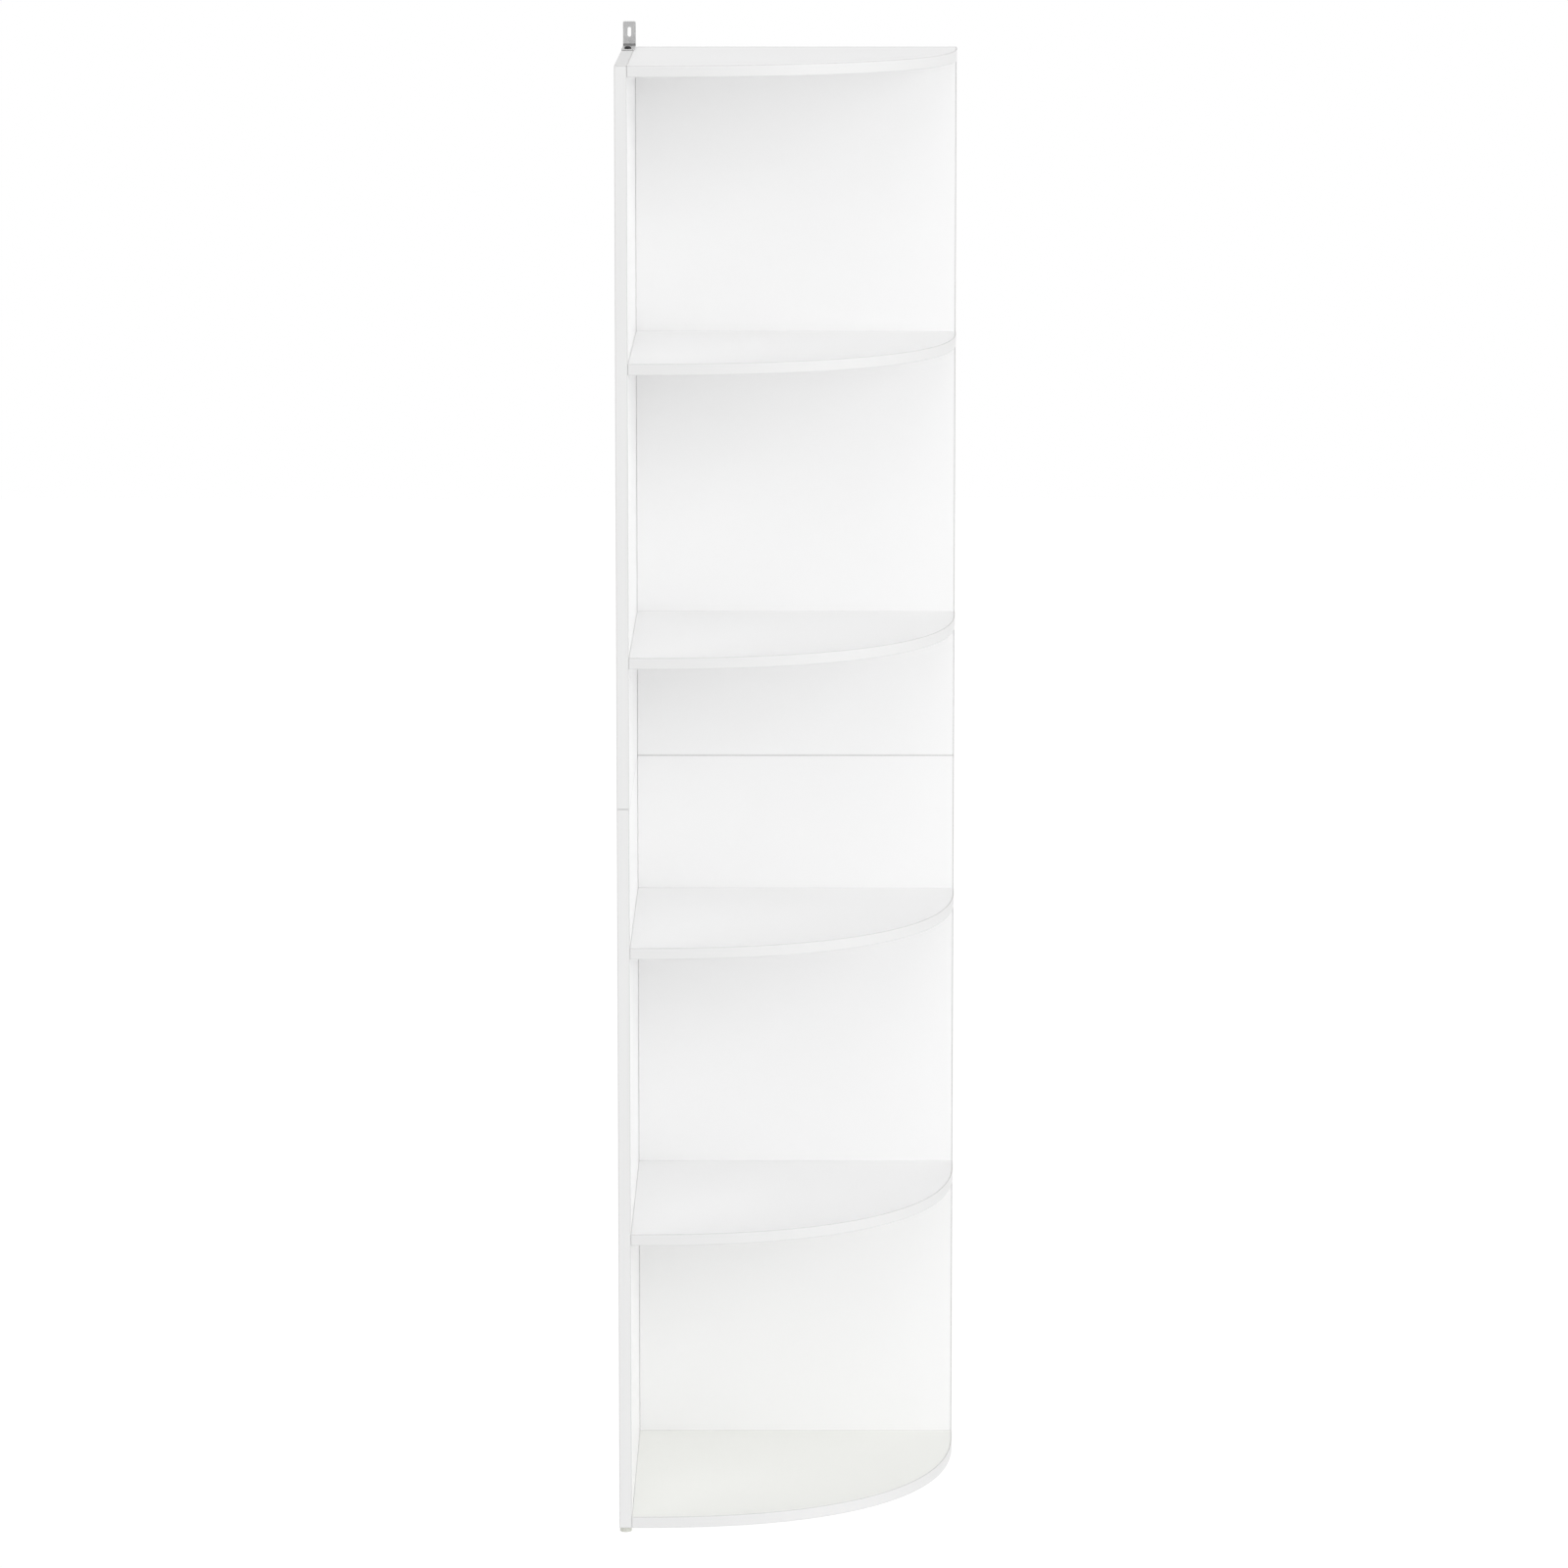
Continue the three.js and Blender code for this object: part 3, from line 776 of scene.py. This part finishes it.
def bolt_axis(cam):
    """A point on a cam's bolt axis, at the axis of its drum."""
    low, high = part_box(cam)
    place = middle(cam)
    place.x = high.x - drum_radius
    if cam in corner_cams:
        place.y = (back_low.y + back_high.y) / 2
    else:
        place.z = low.z - fit_gap + board_thickness / 2
    return place


print(f"drums {2 * drum_radius / mm:.1f} mm wide, boards {board_thickness / mm:.1f} mm thick")

# %% [markdown]
# ## The boards
# All six boards are alike: a quarter plate whose front follows a curve that is squarer than an
# ellipse. One way to get such a front is a Bezier drawn by eye; a formula keeps the true shape and
# gives as many points as wanted. One board is drilled and eased, and the others are copies of it.

# %% The boards' curve
curve_exponent = 2.42
curve_steps = 120


def front_curve(offset=0.0):
    """The boards' front from the side panel round to the free end, moved outwards by an offset."""
    width, depth = board_high.x - board_low.x, board_high.y - board_low.y
    points = []
    for step in range(curve_steps + 1):
        turn = step / curve_steps * pi / 2
        u = max(sin(turn), 0) ** (2 / curve_exponent)
        v = max(cos(turn), 0) ** (2 / curve_exponent) if step < curve_steps else 0
        slope = (u ** (curve_exponent - 1) / width, -(v ** (curve_exponent - 1)) / depth)
        outward = Vector(slope).normalized()
        corner = Vector((board_low.x, board_high.y))
        points.append(corner + Vector((u * width, -v * depth)) + outward * offset)
    return points


curve = front_curve()
length = sum((b - a).length for a, b in zip(curve, curve[1:]))
print(f"the curved front is {length:.3f} m long in {curve_steps} steps")

# %% One board, then six
core_easing = 0.15 * mm


def board_mesh():
    outline = [Vector((board_low.x, board_high.y)), *curve]
    mesh = prism("board", outline, board_low.z, board_high.z)
    mesh = eased(mesh, core_easing, steps=2, choose=lambda edge: edge.verts[0].co.z == edge.verts[1].co.z)
    in_chipboard(mesh)
    for face in mesh.polygons:
        if face.normal.z:
            face.material_index = foil_index
    tools = []
    for cam in ("bottom_board_cam_front", "bottom_board_cam_rear"):
        axis = bolt_axis(cam)
        below = (axis.x, axis.y, board_low.z)
        beside = (board_low.x, axis.y, axis.z)
        tools.append(drill(below, up, drum_radius, drum_height + clearance, broken_rim))
        tools.append(drill(beside, right, bolt_collar_radius, axis.x - board_low.x))
    for screw in ("bottom_board_screw_left", "bottom_board_screw_right"):
        behind = (middle(screw).x, board_high.y, middle(screw).z)
        depth = board_high.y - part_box(screw)[0].y + clearance
        tools.append(drill(behind, front, screw_radius, depth))
    return joined(mesh, tools)


def raised(mesh, board):
    """A copy of a mesh that was made for the bottom board, raised to another board's height."""
    return aimed(mesh.copy(), (0, 0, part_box(board)[0].z - board_low.z))


one_board = board_mesh()
for node in boards:
    foil = green_white_foil if node == "bottom_board" else white_foil
    dress(node, raised(one_board, node), [foil, edging, chipboard])
print("boards:", len(boards), "with", len(one_board.polygons), "faces each")

# %% [markdown]
# ## The curved edging
# A strip a millimetre thick bends round each board's front. It is a small section swept along the
# curve: flat where it is glued, rounded at its two outer corners. A curve object with a bevel
# profile could sweep it too, but the section has to stay square to the board and exactly upright.

# %% Curved edging
band_thickness = 1 * mm
band_easing = 0.5 * mm


def curved_band():
    flat = rectangle(fit_gap, 0, fit_gap + band_thickness, board_thickness)
    section = rounded(flat, band_easing, steps=5)
    bm = bmesh.new()
    rings = []
    paths = [front_curve(point.x) for point in section]
    for step in range(curve_steps + 1):
        ring = []
        for path, point in zip(paths, section):
            ring.append(bm.verts.new((path[step].x, path[step].y, board_low.z + point.y)))
        rings.append(ring)
    for first, second in zip(rings, rings[1:]):
        for index in range(len(section)):
            bm.faces.new((first[index - 1], first[index], second[index], second[index - 1]))
    bm.faces.new(rings[0])
    bm.faces.new(rings[-1])
    return mesh_from(bm, "curved_band")


one_band = curved_band()
for node in boards:
    dress(f"{node}_edge_band", raised(one_band, node), [shaded_curved_edging])
print("curved bands:", len(boards), "with", len(one_band.polygons), "faces each")

# %% [markdown]
# ## The panels
# A panel is a slab with every edge rounded by less than a millimetre, foil on its two broad faces and
# edging all round. The strip on its open edge is a piece of its own, so the slab is rounded whole and
# then sawn through at the joint: both parts keep one continuous rounding, as after trimming.

# %% Slabs and their strips
panel_easing = 0.7 * mm
least_broad_share = 0.999
x_axis, y_axis = 0, 1


def panel_slab(panel, band, broad_axis):
    """The rounded slab of a panel and its strip, with foil on the broad faces."""
    low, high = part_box(panel)
    band_low, band_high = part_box(band)
    low = Vector(map(min, low, band_low))
    high = Vector(map(max, high, band_high))
    slab = prism(panel, rectangle(*low.xy, *high.xy), low.z, high.z)
    mesh = in_chipboard(eased(slab, panel_easing))
    for face in mesh.polygons:
        is_broad = abs(face.normal[broad_axis]) > least_broad_share
        face.material_index = foil_index if is_broad else edging_index
    return mesh


print(f"panel edges are rounded by {panel_easing / mm:.1f} mm")

# %% Holes for bolts, dowels and feet
def bolt_holes(panel):
    """Bores in the side panel's inner face for the cams' bolts."""
    low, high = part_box(panel)
    tools = []
    for cam in board_cams + corner_cams:
        axis = bolt_axis(cam)
        if low.z < axis.z < high.z:
            depth = inner_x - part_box(cam)[0].x + clearance
            tools.append(drill((inner_x, axis.y, axis.z), left, bolt_thread_radius, depth))
    return tools


def dowel_holes(panel, dowels):
    """Bores across the seam: up into an upper half, down into a lower one."""
    low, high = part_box(panel)
    is_upper = panel.endswith("upper")
    tools = []
    for dowel in dowels:
        place = middle(dowel)
        place.z = low.z if is_upper else high.z
        width, _, height = size_of(dowel)
        tools.append(drill(place, up if is_upper else down, width / 2, height / 2 + clearance))
    return tools


def foot_holes(panel, places):
    """The stepped hole for a foot's socket and stem, from a panel's underside."""
    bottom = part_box(panel)[0].z
    tools = []
    for place in places:
        socket = f"foot_socket_{place}"
        entry = middle(socket)
        entry.z = bottom
        steps = [
            (size_of(socket)[0] / 2, flange_thickness + 2 * fit_gap),
            (socket_radius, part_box(socket)[1].z - bottom + fit_gap),
            (stem_radius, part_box(f"foot_{place}")[1].z - bottom + overrun),
        ]
        tools.extend(drill(entry, up, radius, depth) for radius, depth in steps)
    return tools


print("board cams:", len(board_cams), "corner cams:", len(corner_cams))

# %% Holes in the back panel
def back_holes(panel):
    """Countersunk holes for the screws, and pockets for the corner cams, from the rear face."""
    low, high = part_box(panel)
    tools = []
    for screw in board_screws:
        place = middle(screw)
        place.y = rear_y
        if low.z < place.z < high.z:
            head = screw_head_radius + clearance
            shank = screw_radius + clearance
            through = back_thickness + overrun
            sink = [(0, -overrun), (head, -overrun), (head, clearance)]
            sink += [(shank, screw_head_depth + clearance), (shank, through), (0, through)]
            tools.append(in_chipboard(aimed(turned("sink", sink, bore_sides), place, front)))
    for cam in corner_cams:
        axis = bolt_axis(cam)
        if low.z < axis.z < high.z:
            behind = (axis.x, rear_y, axis.z)
            tools.append(drill(behind, front, drum_radius, drum_height + clearance, broken_rim))
            tools.append(drill((low.x, axis.y, axis.z), right, bolt_collar_radius, axis.x - low.x))
    return tools


print("screws:", len(board_screws))

# %% The four half panels
pilot_depth = 30 * mm
side_dowels = ["seam_dowel_side_front", "seam_dowel_side_rear"]
back_dowels = ["seam_dowel_back_left", "seam_dowel_back_right"]


def dress_panel(panel, broad_axis, saw_axis, strip_is_upper, tools):
    """Rounds a panel whole, saws off its strip, drills the slab and dresses both nodes."""
    band = f"{panel}_edge_band"
    slab = panel_slab(panel, band, broad_axis)
    (panel_low, panel_high), (band_low, band_high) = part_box(panel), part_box(band)
    strip_at, slab_at = (band_low, panel_high) if strip_is_upper else (band_high, panel_low)
    strip = sawn(slab.copy(), saw_axis, strip_at[saw_axis], keep_upper=strip_is_upper)
    dress(band, all_in(strip, 0), [edging])
    slab = sawn(slab, saw_axis, slab_at[saw_axis], keep_upper=not strip_is_upper)
    dress(panel, joined(slab, tools), panel_finishes)
    print(panel, "has", len(tools), "bores")


for half in ("lower", "upper"):
    panel = f"side_panel_{half}"
    tools = bolt_holes(panel) + dowel_holes(panel, side_dowels)
    if half == "lower":
        tools += foot_holes(panel, ["front", "corner"])
    else:
        screw = middle("bracket_screw")
        screw.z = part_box(panel)[1].z
        tools.append(drill(screw, down, cap_shank, pilot_depth, broken_rim))
    dress_panel(panel, x_axis, y_axis, False, tools)

for half in ("lower", "upper"):
    panel = f"back_panel_{half}"
    tools = back_holes(panel) + dowel_holes(panel, back_dowels)
    if half == "lower":
        tools += foot_holes(panel, ["end"])
    dress_panel(panel, y_axis, x_axis, True, tools)

# %% [markdown]
# ## Threads and crosses
# Bolts, screws and the feet's stems are threaded. A thread is a surface whose radius dips along a
# helix, so the turning helper makes one when it is given a radius that depends on angle and height.
# The drivers' crosses are tapered prisms, cut out of the heads.

# %% Thread and cross
turn_rows = 6


def thread(major, pitch, depth, low, high):
    """A reach for turned(): between two heights the major radius dips by a depth along a helix."""
    def reach(radius, angle, height):
        if radius < major or not low < height < high:
            return radius
        phase = (height / pitch - angle / (2 * pi)) % 1
        return radius - depth * abs(2 * phase - 1)

    return reach


def rows(radius, low, high, step):
    """Points at a radius from one height to another, close enough to carry a thread."""
    count = max(round((high - low) / step), 1)
    return [(radius, low + (high - low) * index / count) for index in range(count + 1)]


def cross(width, arm, depth, taper_share):
    """The tool for a driver's cross that sinks from z = 0 downwards and narrows on the way."""
    thin, long = width / 2, arm / 2
    plan = [(thin, long), (thin, thin), (long, thin), (long, -thin), (thin, -thin), (thin, -long)]
    plan += [(-x, -y) for x, y in plan]
    mesh = prism("cross", plan, -depth, overrun)
    for vertex in mesh.vertices:
        if vertex.co.z < 0:
            vertex.co.x *= taper_share
            vertex.co.y *= taper_share
    return mesh


print("thread and cross ready")

# %% [markdown]
# ## Cams and their bolts
# The drum is a short cylinder with a cross slot and a small arrow that points at its bolt. The bolt
# leaves it sideways, ends in a collar at the board's edge and a thread in the panel. Both are turned
# and united. The board cams look down; the corner cams are the same fitting, laid over to look
# backwards.

# %% Cam fittings
drum_easing = 0.5 * mm
drum_slot = {"width": 1.6 * mm, "arm": 10 * mm, "depth": 2 * mm, "taper_share": 1.0}
bolt_radius = 3 * mm
bolt_pitch = 1.5 * mm
bolt_thread_depth = 0.6 * mm
bolt_tip = 2 * mm
bolt_chamfer = 1 * mm
arrow_reach = 6.6 * mm
arrow_back = 5.3 * mm
arrow_half = 0.9 * mm
arrow_depth = 0.5 * mm


def cam_mesh(bolt_depth, setback, tip):
    """A drum about z with its slotted face just above z = 0, and a bolt towards -x at a depth."""
    half = rectangle(0, fit_gap, drum_radius, drum_height)
    drum = turned("cam", rounded(half, drum_easing), bore_sides)
    slot = aimed(cross(**drum_slot), (0, 0, fit_gap), down)
    arrow = [(-arrow_reach, 0), (-arrow_back, arrow_half), (-arrow_back, -arrow_half)]
    notch = prism("arrow", arrow, -overrun, fit_gap + arrow_depth)
    drum = joined(drum, [slot, notch])
    collar = setback + fit_gap
    shank = [(0, drum_radius / 2), (bolt_radius, drum_radius / 2), (bolt_radius, collar - overrun)]
    shank += [(bolt_collar_radius, collar - overrun), (bolt_collar_radius, collar - fit_gap)]
    worm_end = tip - bolt_tip
    worm = rows(bolt_thread_radius, collar - fit_gap, worm_end, bolt_pitch / turn_rows)
    wound = thread(bolt_thread_radius, bolt_pitch, bolt_thread_depth, collar + bolt_pitch / 2, worm_end)
    outline = [*shank, *worm, (bolt_radius - bolt_chamfer, tip), (0, tip)]
    bolt = aimed(turned("bolt", outline, shank_sides, wound), (0, 0, bolt_depth), left)
    return joined(drum, [bolt], "UNION")


setback = bolt_axis("bottom_board_cam_front").x - board_low.x
tip = bolt_axis("bottom_board_cam_front").x - drum_low.x
board_cam = cam_mesh(board_thickness / 2, setback, tip)
for node in board_cams:
    axis = bolt_axis(node)
    dress(node, aimed(board_cam.copy(), (axis.x, axis.y, axis.z - board_thickness / 2)), [cast_zinc])

corner_cam = cam_mesh(back_thickness / 2, setback, tip)
corner_cam.transform(Matrix.Rotation(pi / 2, 4, "X"))
for node in corner_cams:
    axis = bolt_axis(node)
    dress(node, aimed(corner_cam.copy(), (axis.x, rear_y, axis.z)), [cast_zinc])
print("cams:", len(board_cams) + len(corner_cams), "with", len(board_cam.polygons), "faces each")

# %% [markdown]
# ## Long screws through the back
# Twelve countersunk screws hold the boards' rear edges. The head is a cone with a flat top and a
# cross, the shank is threaded to a point.

# %% Back screws
screw_length = size_of("bottom_board_screw_left")[1]
screw_tip = 6 * mm
screw_pitch = 2.2 * mm
screw_thread_depth = 0.7 * mm
screw_easing = 0.25 * mm
screw_cross = {"width": 1.1 * mm, "arm": 5.2 * mm, "depth": 2.6 * mm, "taper_share": 0.35}


def screw_mesh():
    """A countersunk screw along z: the flat of its head at z = 0 and its point at +z."""
    shoulder = screw_length - screw_tip
    head = [(0, 0), (screw_head_radius, 0), (screw_radius, screw_head_depth)]
    worm_start = screw_head_depth + screw_pitch
    worm = rows(screw_radius, worm_start, shoulder, screw_pitch / turn_rows)
    wound = thread(screw_radius, screw_pitch, screw_thread_depth, worm_start, shoulder)
    outline = [*rounded(head, screw_easing), *worm, (0, screw_length)]
    mesh = turned("screw", outline, shank_sides, wound)
    return joined(mesh, [aimed(cross(**screw_cross), (0, 0, 0), down)])


one_screw = screw_mesh()
for node in board_screws:
    place = middle(node)
    place.y = rear_y
    dress(node, aimed(one_screw.copy(), place, front), [zinc_steel])
print("back screws:", len(board_screws), "with", len(one_screw.polygons), "faces each")

# %% [markdown]
# ## Feet and sockets
# A foot is a round pad with a rounded lower edge on a threaded stem, and it winds in and out of a
# sleeve in the panel. The stem shows when a foot is wound out, so its thread is real.

# %% Feet and sockets
foot_width, _, foot_height = size_of("foot_front")
foot_radius = foot_width / 2
foot_sides = 64
foot_rounding = 1.5 * mm
pad_rim = 0.6 * mm
stem_pitch = 1.25 * mm
stem_rows = 8
stem_thread_depth = 0.55 * mm
stem_chamfer = 1 * mm
pad_height = side_low.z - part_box("foot_front")[0].z - fit_gap
socket_easing = 0.3 * mm


def foot_mesh():
    """A foot about z, its sole at z = 0."""
    shoulder = foot_height - stem_chamfer
    pad = [(0, 0), (foot_radius, 0), (foot_radius, pad_height), (stem_radius, pad_height)]
    lower = rounded(pad[:3], foot_rounding, steps=8)
    upper = rounded(pad[1:], pad_rim)[1:-1]
    stem = rows(stem_radius, pad_height, shoulder, stem_pitch / stem_rows)
    wound = thread(stem_radius, stem_pitch, stem_thread_depth, pad_height + stem_pitch / 2, shoulder)
    point = [(stem_radius - stem_chamfer, foot_height), (0, foot_height)]
    outline = [*lower[:-1], *upper, *stem, *point]
    return turned("foot", outline, foot_sides, wound)


def socket_mesh(node):
    """A socket about z, its flange's face at z = 0."""
    width, _, length = size_of(node)
    hole = stem_radius + clearance
    outline = [(hole, 0), (width / 2, 0), (width / 2, flange_thickness)]
    outline += [(socket_radius, flange_thickness), (socket_radius, length), (hole, length)]
    return turned("socket", rounded(outline, socket_easing, closed=True), bore_sides, closed=True)


for place in ("front", "corner", "end"):
    foot, socket = f"foot_{place}", f"foot_socket_{place}"
    at = middle(foot)
    dress(foot, aimed(foot_mesh(), (at.x, at.y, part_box(foot)[0].z)), [foot_plastic])
    dress(socket, aimed(socket_mesh(socket), (at.x, at.y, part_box(socket)[0].z)), [socket_plastic])
print(f"feet: pads {2 * foot_radius / mm:.0f} mm wide and {pad_height / mm:.1f} mm high")

# %% [markdown]
# ## The wall angle
# The angle starts as a flat blank: a strip with rounded corners, a round hole and a slot. Then it is bent
# in a press. The model goes the same way: the blank is a prism, cut, eased and sliced finely where the
# bend will be, and each vertex is then carried round the bend. The slices on the inner side take the
# darker finish, which is painted shade in the bend.

# %% The angle's sizes and its bend
angle_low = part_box("wall_bracket")[0]
angle_width, angle_depth, angle_height = size_of("wall_bracket")
angle_thickness = 2.2 * mm
bend_inner = 3 * mm
bend_outer = bend_inner + angle_thickness
bend_slices = 14
corner_reach = 2.6 * mm
slot_width = 5.8 * mm
slot_length = 16 * mm
slot_height = 24.2 * mm
hole_radius = 2.8 * mm
hole_sides = 40
sheet_easing = 0.3 * mm
rim_angle = radians(60)
leg = angle_depth - bend_outer
bend_length = bend_outer * pi / 2
blank_length = leg + bend_length + angle_height - bend_outer


def stadium(length, width, steps=16):
    """A slot's outline along x, about the origin."""
    end_radius = width / 2
    points = []
    for step in range(2 * steps + 2):
        turn = -pi / 2 + pi * (step if step <= steps else step - 1) / steps
        centre = length / 2 - end_radius if step <= steps else end_radius - length / 2
        points.append((centre + end_radius * cos(turn), end_radius * sin(turn)))
    return points


def bent(place):
    """Carries a point of the blank, at (along, across, above its outer face), round the bend."""
    along, across, above = place
    if along <= leg:
        return Vector((across, along, above))
    turn = min(along - leg, bend_length) / bend_outer
    radius = bend_outer - above
    y = leg + radius * sin(turn)
    z = bend_outer - radius * cos(turn)
    return Vector((across, y, z + max(along - leg - bend_length, 0)))


print(f"the angle's blank is {blank_length / mm:.0f} mm long")

# %% The angle, cut and bent
def angle_mesh():
    plan = rounded(rectangle(0, 0, blank_length, angle_width), corner_reach, steps=6, closed=True)
    blank = prism("wall_angle", plan, 0, angle_thickness)
    screw = middle("bracket_screw") - angle_low
    turns = [2 * pi * side / hole_sides for side in range(hole_sides)]
    hole = [(hole_radius * cos(turn), hole_radius * sin(turn)) for turn in turns]
    punch_end = 2 * overrun + angle_thickness
    round_hole = aimed(prism("hole", hole, -overrun, punch_end), (screw.y, screw.x, 0))
    slot = prism("slot", stadium(slot_length, slot_width), -overrun, punch_end)
    slot_at = leg + bend_length + slot_height - bend_outer
    blank = joined(blank, [round_hole, aimed(slot, (slot_at, angle_width / 2, 0))])
    eased(blank, sheet_easing, steps=2, choose=lambda edge: edge.calc_face_angle(0) > rim_angle)
    bm = opened(blank)
    for index in range(bend_slices + 1):
        cut_across(bm, (leg + bend_length * index / bend_slices, 0, 0), (1, 0, 0))
    # Faces on the inner side of the bend take the darker copy: painted shade.
    for face in bm.faces:
        is_bent = leg < face.calc_center_median().x < leg + bend_length
        face.material_index = 1 if is_bent and face.normal.z > 0 else 0
    for vertex in bm.verts:
        vertex.co = bent(vertex.co) + angle_low
    return mesh_from(bm, "wall_angle")


dress("wall_bracket", angle_mesh(), [zinc_steel, shaded_bend_zinc])
print("the angle is bent in", bend_slices, "slices")

# %% [markdown]
# ## The angle's screw
# A domed head, blackened, sits on the angle's lower leg. The dome is a quarter of an ellipse, turned.

# %% Bracket screw
cap_width, _, cap_screw_height = size_of("bracket_screw")
cap_radius = cap_width / 2
cap_height = 4.2 * mm
cap_rim = 1.6 * mm
cap_pitch = 1.8 * mm
cap_thread_depth = 0.6 * mm
cap_neck = 1 * mm
cap_cross = {"width": 1.2 * mm, "arm": 5.4 * mm, "depth": 2.4 * mm, "taper_share": 0.45}
dome_steps = 12


def cap_screw_mesh():
    """The domed screw about z, its head's underside at z = 0."""
    length = cap_screw_height - cap_height
    point_end = 2 * cap_shank - length
    dome = []
    for step in range(dome_steps + 1):
        turn = step / dome_steps * pi / 2
        out = cap_radius * cos(turn) if step < dome_steps else 0
        dome.append((out, cap_rim + (cap_height - cap_rim) * sin(turn)))
    worm = rows(cap_shank, point_end, 0, cap_pitch / turn_rows)
    wound = thread(cap_shank, cap_pitch, cap_thread_depth, point_end, -cap_neck)
    outline = [(0, -length), *worm, (cap_radius, 0), *dome]
    mesh = turned("cap_screw", outline, bore_sides, wound)
    return joined(mesh, [aimed(cross(**cap_cross), (0, 0, cap_height))])


cap = middle("bracket_screw")
cap.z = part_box("bracket_screw")[1].z - cap_height
dress("bracket_screw", aimed(cap_screw_mesh(), cap), [dark_steel])
print(f"the domed head is {2 * cap_radius / mm:.1f} mm wide")

# %% [markdown]
# ## The dowels
# Four beech dowels lock the halves across the seam. They are hidden once the unit stands, so the
# frame's own solids stay, with the grain of beech on them.

# %% Dowels
for node in side_dowels + back_dowels:
    solid = frame["nodes"][node]
    solid.data.materials.clear()
    solid.data.materials.append(beech)
print("dressed nodes:", len(dressed), "of", len(frame["nodes"]))

# %% [markdown]
# ## Floor and light
# The photograph has no room: the unit stands in plain white. The world and the floor are plain white
# wherever the camera, a reflection or glass looks at them, and at a moderate level where they light
# the unit. The floor still darkens a little under the unit, so that it stands on something. Most light
# comes from all round, since the photograph has hardly a shadow. A low lamp far out on the right
# fills the inner corner, one in front, higher up, reaches the tops of the boards, and a weaker one
# behind keeps the unit's rear and its outer side from going dull in other views.

# %% Floor
floor_half = 14.0
floor_glow = 0.86
floor_answer = 0.20
floor_bounce = 0.915


def seen_directly(tree):
    """1 for the rays of the camera, of reflections and of glass, and 0 for those that carry light."""
    rays = add(tree, "LightPath").outputs
    either = add(tree, "Math", {0: rays["Is Camera Ray"], 1: rays["Is Glossy Ray"]}, operation="MAXIMUM")
    all_three = {0: either.outputs[0], 1: rays["Is Transmission Ray"]}
    return add(tree, "Math", all_three, operation="MAXIMUM").outputs[0]


def floor_finish():
    """White with a faint shadow where it is seen, an even glow where it lights the unit, and clear
    from below, so that the underside can be looked at."""
    material = bpy.data.materials.new("floor")
    material.use_nodes = True
    tree = material.node_tree
    tree.nodes.remove(tree.nodes["Principled BSDF"])
    shown = add(tree, "BsdfDiffuse", {"Color": opaque(floor_answer)})
    glow = add(tree, "Emission", {"Color": opaque(1.0), "Strength": floor_glow})
    white = add(tree, "AddShader", {0: shown.outputs[0], 1: glow.outputs[0]})
    bounce = add(tree, "Emission", {"Color": opaque(1.0), "Strength": floor_bounce})
    chosen = add(tree, "MixShader", {0: seen_directly(tree), 1: bounce.outputs[0], 2: white.outputs[0]})
    clear = add(tree, "BsdfTransparent")
    from_below = add(tree, "NewGeometry").outputs["Backfacing"]
    sided = add(tree, "MixShader", {0: from_below, 1: chosen.outputs[0], 2: clear.outputs[0]})
    feed(tree, tree.nodes["Material Output"].inputs["Surface"], sided.outputs[0])
    return material


floor_sheet = bmesh.new()
bmesh.ops.create_grid(floor_sheet, x_segments=1, y_segments=1, size=floor_half)
floor_mesh = written(floor_sheet, bpy.data.meshes.new("floor"))
floor_mesh.materials.append(floor_finish())
floor = in_scene("floor", floor_mesh)
print("floor", 2 * floor_half, "m wide")

# %% World
world_level = 0.61
world = bpy.data.worlds.new("studio")
world.use_nodes = True
scene.world = world
sky = world.node_tree
backdrop = sky.nodes["Background"]
backdrop.inputs["Color"].default_value = opaque(1.0)
feed(sky, backdrop.inputs["Strength"], ranged(sky, seen_directly(sky), world_level, 1.0))
print("world at", world_level)

# %% Lamps
lamp_softness = radians(50)


def soft_lamp(name, azimuth, elevation, strength):
    """A wide, far lamp. Its azimuth counts from the front towards the right."""
    lamp = bpy.data.lights.new(name, "SUN")
    lamp.angle = lamp_softness
    lamp.energy = strength
    turn, lift = radians(azimuth), radians(elevation)
    towards = Vector((sin(turn) * cos(lift), -cos(turn) * cos(lift), sin(lift)))
    in_scene(name, lamp).rotation_euler = towards.to_track_quat("Z", "Y").to_euler()


soft_lamp("right_lamp", azimuth=60, elevation=10, strength=1.06)
soft_lamp("front_lamp", azimuth=0, elevation=40, strength=0.585)
soft_lamp("back_lamp", azimuth=245, elevation=15, strength=0.45)

# %% [markdown]
# ## Camera
# The photograph was taken from eleven metres, a little above the unit's top, with the lens shifted so
# that the uprights stay upright. A shift would stay on the camera in every other view, so here the
# camera looks down instead, from the same place: it sees the same faces, and only leans the
# uprights by a few pixels.

# %% Camera
picture_pixels = 1600
focal_pixels = 6962
sensor_width = 36.0
camera_place = Vector((0.0088, -11.0153, 2.9511))
camera_pitch = radians(9.116)
camera_yaw = radians(-0.093)

lens = bpy.data.cameras.new("camera")
lens.sensor_width = sensor_width
lens.lens = focal_pixels / picture_pixels * sensor_width
lens.clip_start = 0.1
lens.clip_end = 100.0
camera = in_scene("camera", lens)
camera.location = camera_place
camera.rotation_euler = (pi / 2 - camera_pitch, 0, -camera_yaw)
scene.camera = camera
scene.view_settings.view_transform = "Standard"
print(f"lens {lens.lens:.1f} mm, {camera_place.length:.1f} m away")
